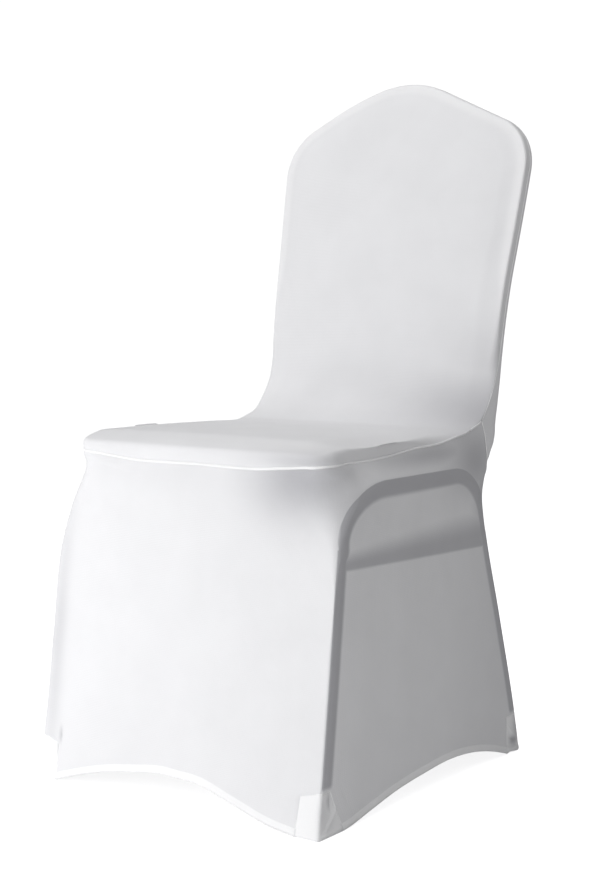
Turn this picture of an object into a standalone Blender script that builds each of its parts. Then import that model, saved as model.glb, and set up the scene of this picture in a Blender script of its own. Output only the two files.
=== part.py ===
"""A fitted stretch cover for a banquet chair with a crowned back, without the chair.

Seven sewn pieces: the inside back and seat in one, the outside back, the skirt and four foot pockets.
Metres, +Z up. The origin is on the floor under the middle of the cover; the front faces -Y,
and left is the cover's own left, +X.
"""

import math

import bmesh
import bpy
import numpy as np

# Cloth
CLOTH = 0.002
SEAM_GAP = 0.0003
WHITE = (0.86, 0.86, 0.87, 1.0)
CLOTH_ROUGHNESS = 0.8

# The back: its front face leans back from the seat
BACK_FOOT_Y, BACK_FOOT_Z = 0.2001, 0.600
RECLINE = math.radians(11.47)
BACK_THICKNESS = 0.0245
BACK_EDGE_RADIUS = 0.007
REAR_DOME = 0.003

# The path that the inside back and seat follow, seen from the side
SEAT_FRONT_Y, SEAT_FRONT_Z = -0.213, 0.4535
SEAT_BREAK_Y, SEAT_BREAK_Z = -0.165, 0.4655
SEAT_REAR_Z = 0.4660
SEAT_BREAK_RADIUS = 0.050
LAP_RADIUS = 0.085
CROWN_LINE_Z = 0.9650

# The padding under it: rise in the middle, and the reach along the path that each dome takes
SEAT_DOME, SEAT_DOME_END = 0.006, 0.33
BACK_DOME, BACK_DOME_START = 0.007, 0.36

# The outline of that piece laid flat: half widths, heights on the back and corner radii
SEAT_HALF_WIDTH, SEAT_CORNER_RADIUS = 0.2110, 0.025
NECK_HALF_WIDTH, NECK_Z, NECK_RADIUS = 0.1965, 0.530, 0.60
SHOULDER_HALF_WIDTH, SHOULDER_Z, SHOULDER_RADIUS = 0.2125, 0.873, 0.075
APEX_RADIUS = 0.140

# How far the seam lies below the cover's edge, along the outline from the middle of the seat's front
SEAM_DROP_COLUMNS = ("reach", "drop")
SEAM_DROP_ROWS = (
    (0.000, 0.0207),
    (0.050, 0.0215),
    (0.100, 0.0214),
    (0.150, 0.0175),
    (0.186, 0.0148),
    (0.206, 0.0152),
    (0.225, 0.0188),
    (0.244, 0.0222),
    (0.288, 0.0232),
    (0.333, 0.0214),
    (0.403, 0.0154),
    (0.464, 0.0130),
    (0.507, 0.0070),
    (0.550, 0.0042),
    (0.572, 0.0070),
    (0.587, 0.0045),
    (0.610, 0.0040),
    (0.630, 0.0060),
    (0.655, 0.0105),
    (0.690, 0.0123),
    (0.720, 0.0125),
    (0.750, 0.0125),
    (1.300, 0.0125),
)
SEAT_EDGE_RADIUS, BACK_FRONT_RADIUS = 0.009, 0.0045
EDGE_SHARE = 0.8
BORDER_WIDTH = 0.020

# Where the three seams meet at each side, and how far before it the skirt turns to the rear
JUNCTION_Z = 0.4765
REAR_TURN = 0.030

# The legs that the skirt is stretched over, a row for each height
LEG_COLUMNS = ("z", "front_x", "front_y", "round_x", "round_y", "rear_x", "rear_y", "front_bow")
LEG_ROWS = (
    (0.000, 0.2393, -0.2620, 0.008, 0.008, 0.2040, 0.2635, 0.0000),
    (0.060, 0.2365, -0.2512, 0.008, 0.008, 0.2035, 0.2495, 0.0000),
    (0.200, 0.2347, -0.2328, 0.008, 0.008, 0.2035, 0.2045, 0.0020),
    (0.320, 0.2322, -0.2168, 0.008, 0.008, 0.2032, 0.1665, 0.0040),
    (0.350, 0.2300, -0.2112, 0.009, 0.009, 0.2030, 0.1590, 0.0045),
    (0.377, 0.2265, -0.2090, 0.018, 0.020, 0.2025, 0.1570, 0.0040),
    (0.398, 0.2220, -0.2095, 0.026, 0.030, 0.2020, 0.1610, 0.0028),
    (0.418, 0.2165, -0.2110, 0.027, 0.028, 0.2012, 0.1640, 0.0014),
    (0.440, 0.2110, -0.2130, 0.025, 0.025, 0.2005, 0.1620, 0.0000),
    (0.4765, 0.2105, -0.2130, 0.025, 0.025, 0.2000, 0.1500, 0.0000),
)
STRAIGHT_LEG_TOP = 0.350

# The seam between skirt and outside back: its place and the way it faces, 0 to the side, 90 to the rear
REAR_SEAM_COLUMNS = ("z", "x", "y", "turn")
REAR_SEAM_ROWS = (
    (0.000, 0.1890, 0.2635, 90.0),
    (0.060, 0.1890, 0.2495, 90.0),
    (0.200, 0.1890, 0.2045, 90.0),
    (0.320, 0.1890, 0.1665, 90.0),
    (0.350, 0.1890, 0.1590, 90.0),
    (0.377, 0.1900, 0.1585, 90.0),
    (0.395, 0.1925, 0.1655, 85.0),
    (0.4105, 0.1975, 0.1705, 55.0),
    (0.425, 0.2000, 0.1700, 15.0),
    (0.440, 0.2002, 0.1675, 0.0),
    (0.459, 0.2002, 0.1630, 0.0),
)
SEAM_FLAT = 0.004
REAR_SEAM_GAP = 0.0006
REAR_ROUND = 0.012

# The rear line of the outside back below the back itself, and how far its middle stands behind it
REAR_LINE_COLUMNS = ("z", "y", "bow")
REAR_LINE_ROWS = (
    (0.000, 0.2635, -0.004),
    (0.060, 0.2495, -0.003),
    (0.200, 0.2045, 0.002),
    (0.300, 0.1728, 0.008),
    (0.340, 0.1610, 0.012),
    (0.365, 0.1560, 0.015),
    (0.390, 0.1635, 0.012),
    (0.4167, 0.1745, 0.008),
    (0.440, 0.1900, 0.002),
    (0.4765, 0.2000, 0.002),
)
WRAP_LOW_Z, WRAP_HIGH_Z = 0.415, 0.445
LEG_BAND = (0.008, 0.012, 0.019)

# The bent side tube under the skirt: the outer line of its two bends, middle and reach of each
FRONT_BEND_Y, FRONT_BEND_Z, FRONT_BEND_ACROSS, FRONT_BEND_UP = -0.098, 0.343, 0.110, 0.075
REAR_BEND_Y, REAR_BEND_Z, REAR_BEND_ACROSS, REAR_BEND_UP = 0.075, 0.330, 0.090, 0.088

# Hem heights along the front, from right foot to left, and along a side, from front foot to rear
HEM_COLUMNS = ("share", "z")
FRONT_HEM_ROWS = (
    (-0.826, 0.0030),
    (-0.700, 0.0125),
    (-0.575, 0.0205),
    (-0.267, 0.0333),
    (-0.075, 0.0385),
    (0.020, 0.0378),
    (0.180, 0.0361),
    (0.439, 0.0208),
    (0.689, 0.0059),
    (0.826, 0.0010),
)
SIDE_HEM_ROWS = (
    (0.104, 0.0010),
    (0.125, 0.0020),
    (0.237, 0.0110),
    (0.361, 0.0210),
    (0.498, 0.0275),
    (0.630, 0.0310),
    (0.761, 0.0255),
    (0.860, 0.0145),
    (0.930, 0.0030),
)
REAR_HEM_RISE = 0.036
REAR_HEM_FLOOR = 0.003

# Foot pockets: the shares of front and side at which they border the skirt, at their rim and at the floor
POCKET_TOP = 0.0555
POCKET_EDGE_COLUMNS = ("kind", "rim", "floor")
POCKET_EDGE_ROWS = (
    ("front", 0.872, 0.826),
    ("side", 0.030, 0.104),
    ("side", 0.950, 0.930),
)
POCKET_RIM_GAP = 0.0006
POCKET_GAP = 0.0012
POCKET_EDGE_ROUND = 0.004
POCKET_LEG_ROUND = 0.008
POCKET_INNER_ROUND = 0.008
POCKET_LEG_ROOM = 0.030
POCKET_TAPER = 0.004
SOLE_COLUMNS = ("z", "inset")
SOLE_ROWS = (
    (0.0000, 0.0025),
    (0.0010, 0.0008),
    (0.0030, 0.0000),
    (0.0300, 0.0000),
)

# How the seam's own line carries down into each panel, and how the rows of a panel crowd below it
SEAM_HOLD = 0.050
ROW_CROWDING = 1.3

# Mesh steps
FRONT_STEPS, CORNER_STEPS, SIDE_STEPS, REAR_STEPS = 6, 4, 12, 3
SIDE_ROWS, HEM_ROWS = 18, 2
BACK_STEPS = 16
RING_LIFT = (0.0, 0.0, 0.0, 0.25, 1.0)
ARC_STEPS, POCKET_ARC_STEPS = 12, 4
FINE_STEPS = 400
TANGENT_STEP = 0.001
SLACK = 1e-6

HALF_SEAT_STEPS = FRONT_STEPS + CORNER_STEPS // 2
RINGS = len(RING_LIFT)


def column(rows, columns, name):
    """One named column of a table, as an array."""
    return np.array([row[columns.index(name)] for row in rows])


def table_value(rows, columns, name, at):
    """A smooth curve through a table's column, read at places along its first column."""
    key = column(rows, columns, columns[0])
    value = column(rows, columns, name)
    slope = np.gradient(value, key)
    at = np.clip(at, key[0], key[-1])
    i = np.clip(np.searchsorted(key, at) - 1, 0, len(key) - 2)
    step = key[i + 1] - key[i]
    t = (at - key[i]) / step
    rise = value[i + 1] - value[i]
    swing = (1 - t) * (slope[i] * step - rise) - t * (slope[i + 1] * step - rise)
    return value[i] + rise * t + t * (1 - t) * swing


def eased(share):
    """A share from 0 to 1, made to start and end gently."""
    share = np.clip(share, 0, 1)
    return share * share * (3 - 2 * share)


def rounded_path(corners, arc_steps=ARC_STEPS):
    """A path of straight runs whose corners are arcs: rows of two coordinates and a radius."""
    points = [np.array(corners[0][:2])]
    for before, here, after in zip(corners, corners[1:], corners[2:]):
        corner, radius = np.array(here[:2]), here[2]
        arrive = corner - np.array(before[:2])
        leave = np.array(after[:2]) - corner
        arrive /= np.linalg.norm(arrive)
        leave /= np.linalg.norm(leave)
        turn = math.acos(np.clip(arrive @ leave, -1, 1))
        hand = np.sign(arrive[0] * leave[1] - arrive[1] * leave[0]) or 1.0
        across = hand * np.array([-arrive[1], arrive[0]])
        centre = corner - arrive * radius * math.tan(turn / 2) + across * radius
        for angle in np.linspace(0, turn, arc_steps + 1):
            points.append(centre + radius * (arrive * math.sin(angle) - across * math.cos(angle)))
    points.append(np.array(corners[-1][:2]))
    return np.array(points)


def along(path, lengths):
    """Points at the given lengths along a path of many short steps."""
    steps = np.linalg.norm(np.diff(path, axis=0), axis=1)
    reach = np.concatenate([[0], np.cumsum(steps)])
    return np.stack([np.interp(lengths, reach, path[:, i]) for i in range(path.shape[1])], axis=-1)


def path_length(path):
    return float(np.linalg.norm(np.diff(path, axis=0), axis=1).sum())


def path_tangent(path, lengths):
    """Unit direction of a path at the given lengths."""
    end = path_length(path)
    ahead = along(path, np.clip(lengths + TANGENT_STEP, 0, end))
    behind = along(path, np.clip(lengths - TANGENT_STEP, 0, end))
    tangent = ahead - behind
    return tangent / np.linalg.norm(tangent, axis=-1, keepdims=True)


def back_y(z):
    """The front plane of the back, at a height."""
    return BACK_FOOT_Y + (z - BACK_FOOT_Z) * math.tan(RECLINE)


PATH = rounded_path(
    (
        (SEAT_FRONT_Y, SEAT_FRONT_Z, 0),
        (SEAT_BREAK_Y, SEAT_BREAK_Z, SEAT_BREAK_RADIUS),
        (back_y(SEAT_REAR_Z), SEAT_REAR_Z, LAP_RADIUS),
        (back_y(CROWN_LINE_Z), CROWN_LINE_Z, 0),
    )
)
PATH_END = path_length(PATH)


def back_reach(z):
    """How far along the side path the back stands at a height."""
    return PATH_END - (CROWN_LINE_Z - z) / math.cos(RECLINE)


def half_outline():
    """Left half of the flat outline, from the middle of the seat's front edge to the crown's tip."""
    shoulder = back_reach(SHOULDER_Z)
    path = rounded_path(
        (
            (0.0, 0.0, 0),
            (SEAT_HALF_WIDTH, 0.0, SEAT_CORNER_RADIUS),
            (NECK_HALF_WIDTH, back_reach(NECK_Z), NECK_RADIUS),
            (SHOULDER_HALF_WIDTH, shoulder, SHOULDER_RADIUS),
            (0.0, PATH_END, APEX_RADIUS),
            (-SHOULDER_HALF_WIDTH, shoulder, 0),
        )
    )
    tip = 1 + int(np.argmax(path[1:, 0] < SLACK))
    return path[: tip + 1]


OUTLINE = half_outline()
OUTLINE_END = path_length(OUTLINE)


def outline_frame(reach):
    """Point of the flat outline and its outward direction at each reach along it."""
    tangent = path_tangent(OUTLINE, reach)
    return along(OUTLINE, reach), np.stack([tangent[:, 1], -tangent[:, 0]], axis=-1)


def seam_drop(reach):
    """Depth of the seam below the edge, at a reach along the outline."""
    return table_value(SEAM_DROP_ROWS, SEAM_DROP_COLUMNS, "drop", reach)


def lift_point(flat, depth):
    """Flat points, half width and reach, laid on the side path and sunk by a depth."""
    reach = np.clip(flat[..., 1], 0, PATH_END)
    tangent = path_tangent(PATH, reach)
    normal = np.stack([-tangent[..., 1], tangent[..., 0]], axis=-1)
    sunk = along(PATH, reach) - normal * np.asarray(depth)[..., None]
    return np.concatenate([flat[..., :1], sunk], axis=-1)


def seam_points(reach):
    """The seam's own line in space, at reaches along the outline."""
    flat, _ = outline_frame(reach)
    return lift_point(flat, seam_drop(reach))


# The seam's stretches along the left half of the outline
FLAT_END = SEAT_HALF_WIDTH - SEAT_CORNER_RADIUS
ARC_END = FLAT_END + SEAT_CORNER_RADIUS * math.pi / 2


def junction_reach():
    """Reach along the outline at which the seam passes the height of the side junction."""
    reach = np.linspace(ARC_END, OUTLINE_END, FINE_STEPS)
    return float(np.interp(JUNCTION_Z, seam_points(reach)[:, 2], reach))


JUNCTION = junction_reach()


def shoulder_reach():
    """Reach along the outline of the middle of the shoulder's round."""
    reach = np.linspace(JUNCTION, OUTLINE_END, FINE_STEPS)
    corner = np.array([SHOULDER_HALF_WIDTH, back_reach(SHOULDER_Z)])
    away = np.linalg.norm(along(OUTLINE, reach) - corner, axis=1)
    return float(reach[np.argmin(away)])


SHOULDER = shoulder_reach()
BACK_REACHES = np.linspace(JUNCTION, SHOULDER, BACK_STEPS + 1)[1:]
CROWN_REACHES = np.linspace(SHOULDER, OUTLINE_END, HALF_SEAT_STEPS + 1)[1:]


def skirt_columns():
    """Left half of the skirt's columns: kind, share of that stretch, and the seam's reach above."""
    (_, front_edge, _), (_, low, _), (_, high, _) = POCKET_EDGE_ROWS
    front = np.append(np.linspace(0, front_edge, FRONT_STEPS), 1.0)
    corner = np.linspace(0, 1, CORNER_STEPS + 1)[1:]
    side = np.append(np.linspace(low, high, SIDE_STEPS - 1), 1.0)
    rear = np.linspace(0, 1, REAR_STEPS + 1)[1:]
    turn_start, turn_end = JUNCTION - REAR_TURN, JUNCTION - SEAM_FLAT
    columns = [("front", share, FLAT_END * share) for share in front]
    columns += [("corner", share, FLAT_END + (ARC_END - FLAT_END) * share) for share in corner]
    columns += [("side", share, ARC_END + (turn_start - ARC_END) * share) for share in side]
    columns += [("rear", share, turn_start + (turn_end - turn_start) * share) for share in rear]
    columns.append(("seam", 1.0, JUNCTION))
    return columns


COLUMNS = skirt_columns()
SIDE_SEAM = seam_points(np.linspace(ARC_END, JUNCTION, FINE_STEPS))
REAR_SEAM_TOP = ((JUNCTION_Z, *seam_points(np.array([JUNCTION]))[0, :2], 0.0),)


def leg(name, z):
    return table_value(LEG_ROWS, LEG_COLUMNS, name, z)


def rear_line(name, z):
    return table_value(REAR_LINE_ROWS, REAR_LINE_COLUMNS, name, z)


def rear_seam(z):
    """The rear seam at each height: its point and its direction from skirt to outside back."""
    rows = REAR_SEAM_ROWS + REAR_SEAM_TOP
    x = table_value(rows, REAR_SEAM_COLUMNS, "x", z)
    y = table_value(rows, REAR_SEAM_COLUMNS, "y", z)
    turn = np.radians(table_value(rows, REAR_SEAM_COLUMNS, "turn", z))
    return np.stack([x, y], axis=-1), np.stack([-np.sin(turn), np.cos(turn)], axis=-1)


def rail_height(y):
    """Height of the side tube's outer line under the skirt, over the side view."""
    front = np.clip((y - FRONT_BEND_Y) / FRONT_BEND_ACROSS, -1, 0)
    rear = np.clip((y - REAR_BEND_Y) / REAR_BEND_ACROSS, 0, 1)
    front_z = FRONT_BEND_Z + FRONT_BEND_UP * np.sqrt(1 - front**2)
    rear_z = REAR_BEND_Z + REAR_BEND_UP * np.sqrt(1 - rear**2)
    return np.where(y < 0, front_z, rear_z)


def leg_plane_x(y, z):
    """Half width of the flat side between front and rear leg."""
    low = np.minimum(z, STRAIGHT_LEG_TOP)
    share = (y - leg("front_y", low)) / (leg("rear_y", low) - leg("front_y", low))
    return leg("front_x", low) + share * (leg("rear_x", low) - leg("front_x", low))


def side_x(y, z):
    """Half width of the skirt's side: flat below the rail, and drawn in to the seam above it."""
    rail = rail_height(y)
    seam_x = np.interp(y, SIDE_SEAM[:, 1], SIDE_SEAM[:, 0])
    seam_z = np.interp(y, SIDE_SEAM[:, 1], SIDE_SEAM[:, 2])
    share = np.clip((z - rail) / (seam_z - rail), 0, 1)
    flat = leg_plane_x(y, np.minimum(z, rail))
    return flat + share * (seam_x - flat)


def bend(start, corner, end, share):
    """A bend from start to end, tangent to the lines through corner."""
    return (1 - share) ** 2 * start + 2 * share * (1 - share) * corner + share**2 * end


def skirt_section(kind, share, z):
    """Plan points of one skirt column at the heights z, on the left half."""
    front_x, front_y = leg("front_x", z), leg("front_y", z)
    round_x, round_y = leg("round_x", z), leg("round_y", z)
    seam, onward = rear_seam(z)
    turned = seam - onward * SEAM_FLAT
    side_start = front_y + round_y
    side_end = np.minimum(leg("rear_y", z), turned[..., 1]) - REAR_ROUND
    if kind == "front":
        bow = leg("front_bow", z) * (1 - share**2)
        return np.stack([share * (front_x - round_x), front_y - bow], axis=-1)
    if kind == "corner":
        start = np.stack([front_x - round_x, front_y], axis=-1)
        corner = np.stack([front_x, front_y], axis=-1)
        end = np.stack([side_x(side_start, z), side_start], axis=-1)
        return bend(start, corner, end, share)
    if kind == "side":
        y = side_start + share * (side_end - side_start)
        return np.stack([side_x(y, z), y], axis=-1)
    if kind == "rear":
        start = np.stack([side_x(side_end, z), side_end], axis=-1)
        corner = np.stack([leg("rear_x", z), leg("rear_y", z)], axis=-1)
        return bend(start, corner, turned, share)
    return seam


def pocket_edge(kind, share):
    """The pocket edge that a skirt column runs along, as its shares at rim and floor, or nothing."""
    for edge_kind, rim, floor in POCKET_EDGE_ROWS:
        if kind == edge_kind and abs(share - rim) < SLACK:
            return rim, floor
    return None


def low_share(kind, share, z):
    """Share of a skirt column below the pockets' rims, where a pocket's edge leans off the leg."""
    edge = pocket_edge(kind, share)
    if edge is None:
        return share
    rim, floor = edge
    return floor + (rim - floor) * z / POCKET_TOP


def mirrored(points):
    """The same points on the other side of the middle plane."""
    return points * np.array([-1.0, 1.0, 1.0])


def grid_faces(numbers, keep):
    """Quads of a grid of point numbers, each corner, the one below, the one below right, the one right."""
    faces = []
    for r in range(numbers.shape[0] - 1):
        for c in range(numbers.shape[1] - 1):
            if keep(r, c):
                faces.append((numbers[r, c], numbers[r + 1, c], numbers[r + 1, c + 1], numbers[r, c + 1]))
    return faces


def every_face(r, c):
    return True


def cloth_material(name):
    material = bpy.data.materials.new(name + "_white_knit")
    material.use_nodes = True
    shader = material.node_tree.nodes["Principled BSDF"]
    shader.inputs["Base Color"].default_value = WHITE
    shader.inputs["Roughness"].default_value = CLOTH_ROUGHNESS
    shader.inputs["Metallic"].default_value = 0.0
    return material


def cloth_object(name, points, faces):
    """One piece of cloth: its outer face, thickened inwards."""
    mesh = bpy.data.meshes.new(name)
    corners = [tuple(int(number) for number in face) for face in faces]
    mesh.from_pydata([tuple(map(float, point)) for point in points], [], corners)
    drop_loose_points(mesh)
    mesh.shade_smooth()
    piece = bpy.data.objects.new(name, mesh)
    bpy.context.collection.objects.link(piece)
    thick = piece.modifiers.new("cloth_thickness", "SOLIDIFY")
    thick.thickness = CLOTH
    thick.offset = -1.0
    thick.use_rim = True
    piece.data.materials.append(cloth_material(name))
    return piece


def drop_loose_points(mesh):
    """Remove the points of a grid that no face uses."""
    bm = bmesh.new()
    bm.from_mesh(mesh)
    loose = [vertex for vertex in bm.verts if not vertex.link_faces]
    bmesh.ops.delete(bm, geom=loose, context="VERTS")
    bm.to_mesh(mesh)
    bm.free()


def hem_height(kind, share, side):
    """Height of the hem under a skirt column; side is 1 on the cover's left and -1 on its right."""
    floor_share = low_share(kind, share, 0.0)
    if kind == "front":
        return float(table_value(FRONT_HEM_ROWS, HEM_COLUMNS, "z", side * floor_share))
    return float(table_value(SIDE_HEM_ROWS, HEM_COLUMNS, "z", floor_share))


def over_pocket(kind, share):
    """Whether a skirt column stands inside a foot pocket rather than at its edge or between two."""
    (_, front_edge, _), (_, low, _), (_, high, _) = POCKET_EDGE_ROWS
    if kind == "front":
        return share > front_edge + SLACK
    if kind == "side":
        return share < low - SLACK or share > high + SLACK
    return True


def panel_heights(top_z, hem_z):
    """Heights of a column's rows: crowded below the seam, one at the pockets' rims, the last at the hem."""
    down = np.linspace(0, 1, SIDE_ROWS + 1) ** ROW_CROWDING
    rim_z = POCKET_TOP + SEAM_GAP / 2
    below = np.linspace(0, 1, HEM_ROWS + 1)[1:]
    return np.concatenate([top_z + (rim_z - top_z) * down, POCKET_TOP + (hem_z - POCKET_TOP) * below])


def held_to_seam(plan, z, top):
    """Plan points of a column, drawn near its top to the seam's own point."""
    hold = eased(1 - (z[0] - z) / SEAM_HOLD)[:, None]
    return plan + (top[:2] - plan[0]) * hold


def pocket_edge_trim(kind, share):
    """How a skirt column beside a foot pocket is drawn back from it."""
    if pocket_edge(kind, share) is None:
        return np.zeros(3)
    if kind == "front":
        return np.array([-POCKET_GAP / 2, 0, 0])
    middle = column(POCKET_EDGE_ROWS, POCKET_EDGE_COLUMNS, "rim")[1:].mean()
    return np.array([0, math.copysign(POCKET_GAP / 2, middle - share), 0])


def skirt_column(kind, share, reach, side):
    """All the points of one skirt column, from the seam to the hem, on the left half."""
    top = seam_points(np.array([reach]))[0]
    z = panel_heights(top[2] - SEAM_GAP / 2, hem_height(kind, share, side))
    low = slice(SIDE_ROWS + 1, None)
    plan = skirt_section(kind, share, z)
    plan[low] = skirt_section(kind, low_share(kind, share, z[low]), z[low])
    if kind == "seam":
        _, onward = rear_seam(z)
        plan -= onward * REAR_SEAM_GAP / 2
    else:
        plan = held_to_seam(plan, z, top)
    points = np.column_stack([plan, z])
    points[low] += pocket_edge_trim(kind, share)
    return points


def make_skirt():
    left, right = ([skirt_column(*mark, side) for mark in COLUMNS] for side in (1, -1))
    columns = [mirrored(points) for points in right[:0:-1]] + left
    marks = [mark[:2] for mark in COLUMNS[:0:-1] + COLUMNS]
    grid = np.stack(columns, axis=1)

    def keep(r, c):
        return r < SIDE_ROWS or not (over_pocket(*marks[c]) or over_pocket(*marks[c + 1]))

    numbers = np.arange(grid.shape[0] * grid.shape[1]).reshape(grid.shape[:2])
    return cloth_object("skirt", grid.reshape(-1, 3), grid_faces(numbers, keep))


def front_ring(ring):
    """One ring of the inside back and seat, left half: flat points and depths, seam first, then inwards."""
    reach = np.concatenate([[mark[2] for mark in COLUMNS], BACK_REACHES, CROWN_REACHES])
    flat, outward = outline_frame(reach)
    drop = seam_drop(reach)
    radius = np.where(reach < JUNCTION, SEAT_EDGE_RADIUS, BACK_FRONT_RADIUS)
    radius = np.minimum(radius, drop * EDGE_SHARE)
    slant = radius * (1 - math.sqrt(0.5))
    level = np.zeros_like(drop)
    inset, depth = (
        (level, drop - SEAM_GAP / 2),
        (level, radius),
        (slant, slant),
        (radius, level),
        (level + BORDER_WIDTH, level),
    )[ring]
    return flat - outward * inset[:, None], depth


def padding(flat):
    """How far the padding lifts the cloth off the side path, over the flat piece."""
    across = np.clip(1 - (flat[..., 0] / SEAT_HALF_WIDTH) ** 2, 0, 1)
    seat = np.clip(flat[..., 1] / SEAT_DOME_END, 0, 1)
    back = np.clip((flat[..., 1] - BACK_DOME_START) / (PATH_END - BACK_DOME_START), 0, 1)
    return across * 4 * (SEAT_DOME * seat * (1 - seat) + BACK_DOME * back * (1 - back))


def patch_between(front, left, right, crown):
    """The points of a four-sided patch filled in between its edges; rows run from front to crown."""
    u = np.linspace(0, 1, len(front))[None, :, None]
    v = np.linspace(0, 1, len(left))[:, None, None]
    across = (1 - u) * left[:, None] + u * right[:, None]
    down = (1 - v) * front[None] + v * crown[None]
    front_corners = (1 - u) * front[0] + u * front[-1]
    crown_corners = (1 - u) * crown[0] + u * crown[-1]
    return across + down - (1 - v) * front_corners - v * crown_corners


def patch_numbers(edges, first_free):
    """Point numbers of a patch: those of its front, left, right and crown edge, and new ones inside."""
    front, left, right, crown = edges
    numbers = np.full((len(left), len(crown)), -1)
    numbers[0], numbers[-1] = front, crown
    numbers[:, 0], numbers[:, -1] = left, right
    free = numbers < 0
    numbers[free] = np.arange(free.sum()) + first_free
    return numbers, free


def ring_faces(outer, inner):
    """Quads between two rings of point numbers that run the same way round."""
    return [(a, b, d, c) for a, b, c, d in zip(outer, outer[1:], inner, inner[1:])]


def make_front_panel():
    """The inside back and seat: closed rings along the seam and edge, and a patch within them."""
    points = []
    for ring, lift in enumerate(RING_LIFT):
        flat, depth = front_ring(ring)
        left = lift_point(flat, depth - lift * padding(flat))
        points.append(np.concatenate([left, mirrored(left[-2:0:-1])]))
    count = len(points[0])
    rings = [np.arange(count) + ring * count for ring in range(RINGS)]
    flat = np.concatenate([flat, (flat * [-1, 1])[-2:0:-1]])
    corner = HALF_SEAT_STEPS
    shoulder = len(COLUMNS) - 1 + BACK_STEPS
    around = np.arange(count)
    edges = (
        np.concatenate([around[count - corner :], around[: corner + 1]]),
        around[count - shoulder : count - corner + 1][::-1],
        around[corner : shoulder + 1],
        around[shoulder : count - shoulder + 1][::-1],
    )
    patch = patch_between(*(flat[edge] for edge in edges))
    numbers, free = patch_numbers([edge + rings[-1][0] for edge in edges], RINGS * count)
    points.append(lift_point(patch[free], -padding(patch[free])))
    faces = grid_faces(numbers.T, every_face)
    for outer, inner in zip(rings, rings[1:]):
        faces += ring_faces(np.append(outer, outer[0]), np.append(inner, inner[0]))
    return cloth_object("front_panel", np.concatenate(points), faces)


def rear_point(x, height, depth):
    """A point from its half width, its height up the leaning back and its depth behind the front plane."""
    y = BACK_FOOT_Y + height * math.sin(RECLINE) + depth * math.cos(RECLINE)
    z = BACK_FOOT_Z + height * math.cos(RECLINE) - depth * math.sin(RECLINE)
    return np.stack([x, y, z], axis=-1)


def rear_place(point):
    """The same three measures of a point in space."""
    y = point[..., 1] - BACK_FOOT_Y
    z = point[..., 2] - BACK_FOOT_Z
    height = y * math.sin(RECLINE) + z * math.cos(RECLINE)
    depth = y * math.cos(RECLINE) - z * math.sin(RECLINE)
    return point[..., 0], height, depth


def rear_dome(x, height):
    """How far the outside back stands behind its plane."""
    ends = seam_points(np.array([JUNCTION, OUTLINE_END]))
    low, high = rear_place(ends)[1]
    up = np.clip((height - low) / (high - low), 0, 1)
    return REAR_DOME * 4 * up * (1 - up) * np.clip(1 - (x / SEAT_HALF_WIDTH) ** 2, 0, 1)


def rear_ring(ring):
    """One ring of the outside back, left half, from the side junction to the crown's tip."""
    reach = np.concatenate([[JUNCTION], BACK_REACHES, CROWN_REACHES])
    x, height, depth = rear_place(seam_points(reach))
    _, outward = outline_frame(reach)
    last = np.full_like(depth, BACK_THICKNESS)
    inset, deep = (
        (0.0, depth + SEAM_GAP / 2),
        (0.0, depth + SEAM_FLAT),
        (0.0, last - BACK_EDGE_RADIUS),
        (BACK_EDGE_RADIUS, last),
        (BORDER_WIDTH, last),
    )[ring]
    x, height = x - outward[:, 0] * inset, height - outward[:, 1] * inset
    return np.stack([x, height, deep + RING_LIFT[ring] * rear_dome(x, height)], axis=-1)


def rear_band(step, z):
    """Plan points of one of the outside back's edge columns below the junction, left half."""
    seam, onward = rear_seam(z)
    if step < 2:
        return seam + onward * (REAR_SEAM_GAP / 2, SEAM_FLAT)[step]
    line = rear_line("y", z)
    high = (
        (seam[..., 0], line - BACK_EDGE_RADIUS),
        (seam[..., 0] - BACK_EDGE_RADIUS, line),
        (seam[..., 0] - BORDER_WIDTH, line),
    )[step - 2]
    low = seam + onward * LEG_BAND[step - 2]
    share = eased((z - WRAP_LOW_Z) / (WRAP_HIGH_Z - WRAP_LOW_Z))[..., None]
    return share * np.stack(high, axis=-1) + (1 - share) * low


def rear_plan(step, share, z):
    """Plan points of any column of the outside back: a share from -1 to 1 between its two edge bands."""
    side = rear_band(min(step, RINGS - 1), z)
    if step < RINGS:
        return side * [math.copysign(1, share), 1]
    bow = rear_line("bow", z) * (1 - share**2)
    return np.stack([side[:, 0] * share, side[:, 1] + bow], axis=-1)


def rear_column(top, step, share):
    """One column of the outside back from the junction's level down to the hem."""
    z = panel_heights(top[2], REAR_HEM_FLOOR + REAR_HEM_RISE * (1 - share**2))
    points = np.column_stack([held_to_seam(rear_plan(step, share, z), z, top), z])
    if step == RINGS - 1:
        points[SIDE_ROWS + 1 :, 0] -= math.copysign(POCKET_GAP / 2, share)
    return points


def hang_lower_back(points, level):
    """Points and faces of the outside back below the row of points at the junction's level."""
    top = points[level]
    middle = len(top) // 2
    order = np.arange(len(top))
    steps = np.minimum(order, order[::-1])
    shares = np.clip((order - middle) / (middle - RINGS + 1), -1, 1)
    columns = [rear_column(start, step, share) for start, step, share in zip(top, steps, shares)]
    rows = np.stack(columns, axis=1)[1:]
    below = np.arange(rows.shape[0] * rows.shape[1]).reshape(rows.shape[:2]) + len(points)
    numbers = np.concatenate([level[None], below])

    def keep(r, c):
        return r < SIDE_ROWS or min(steps[c], steps[c + 1]) >= RINGS - 1

    return rows.reshape(-1, 3), [face[::-1] for face in grid_faces(numbers, keep)]


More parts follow.
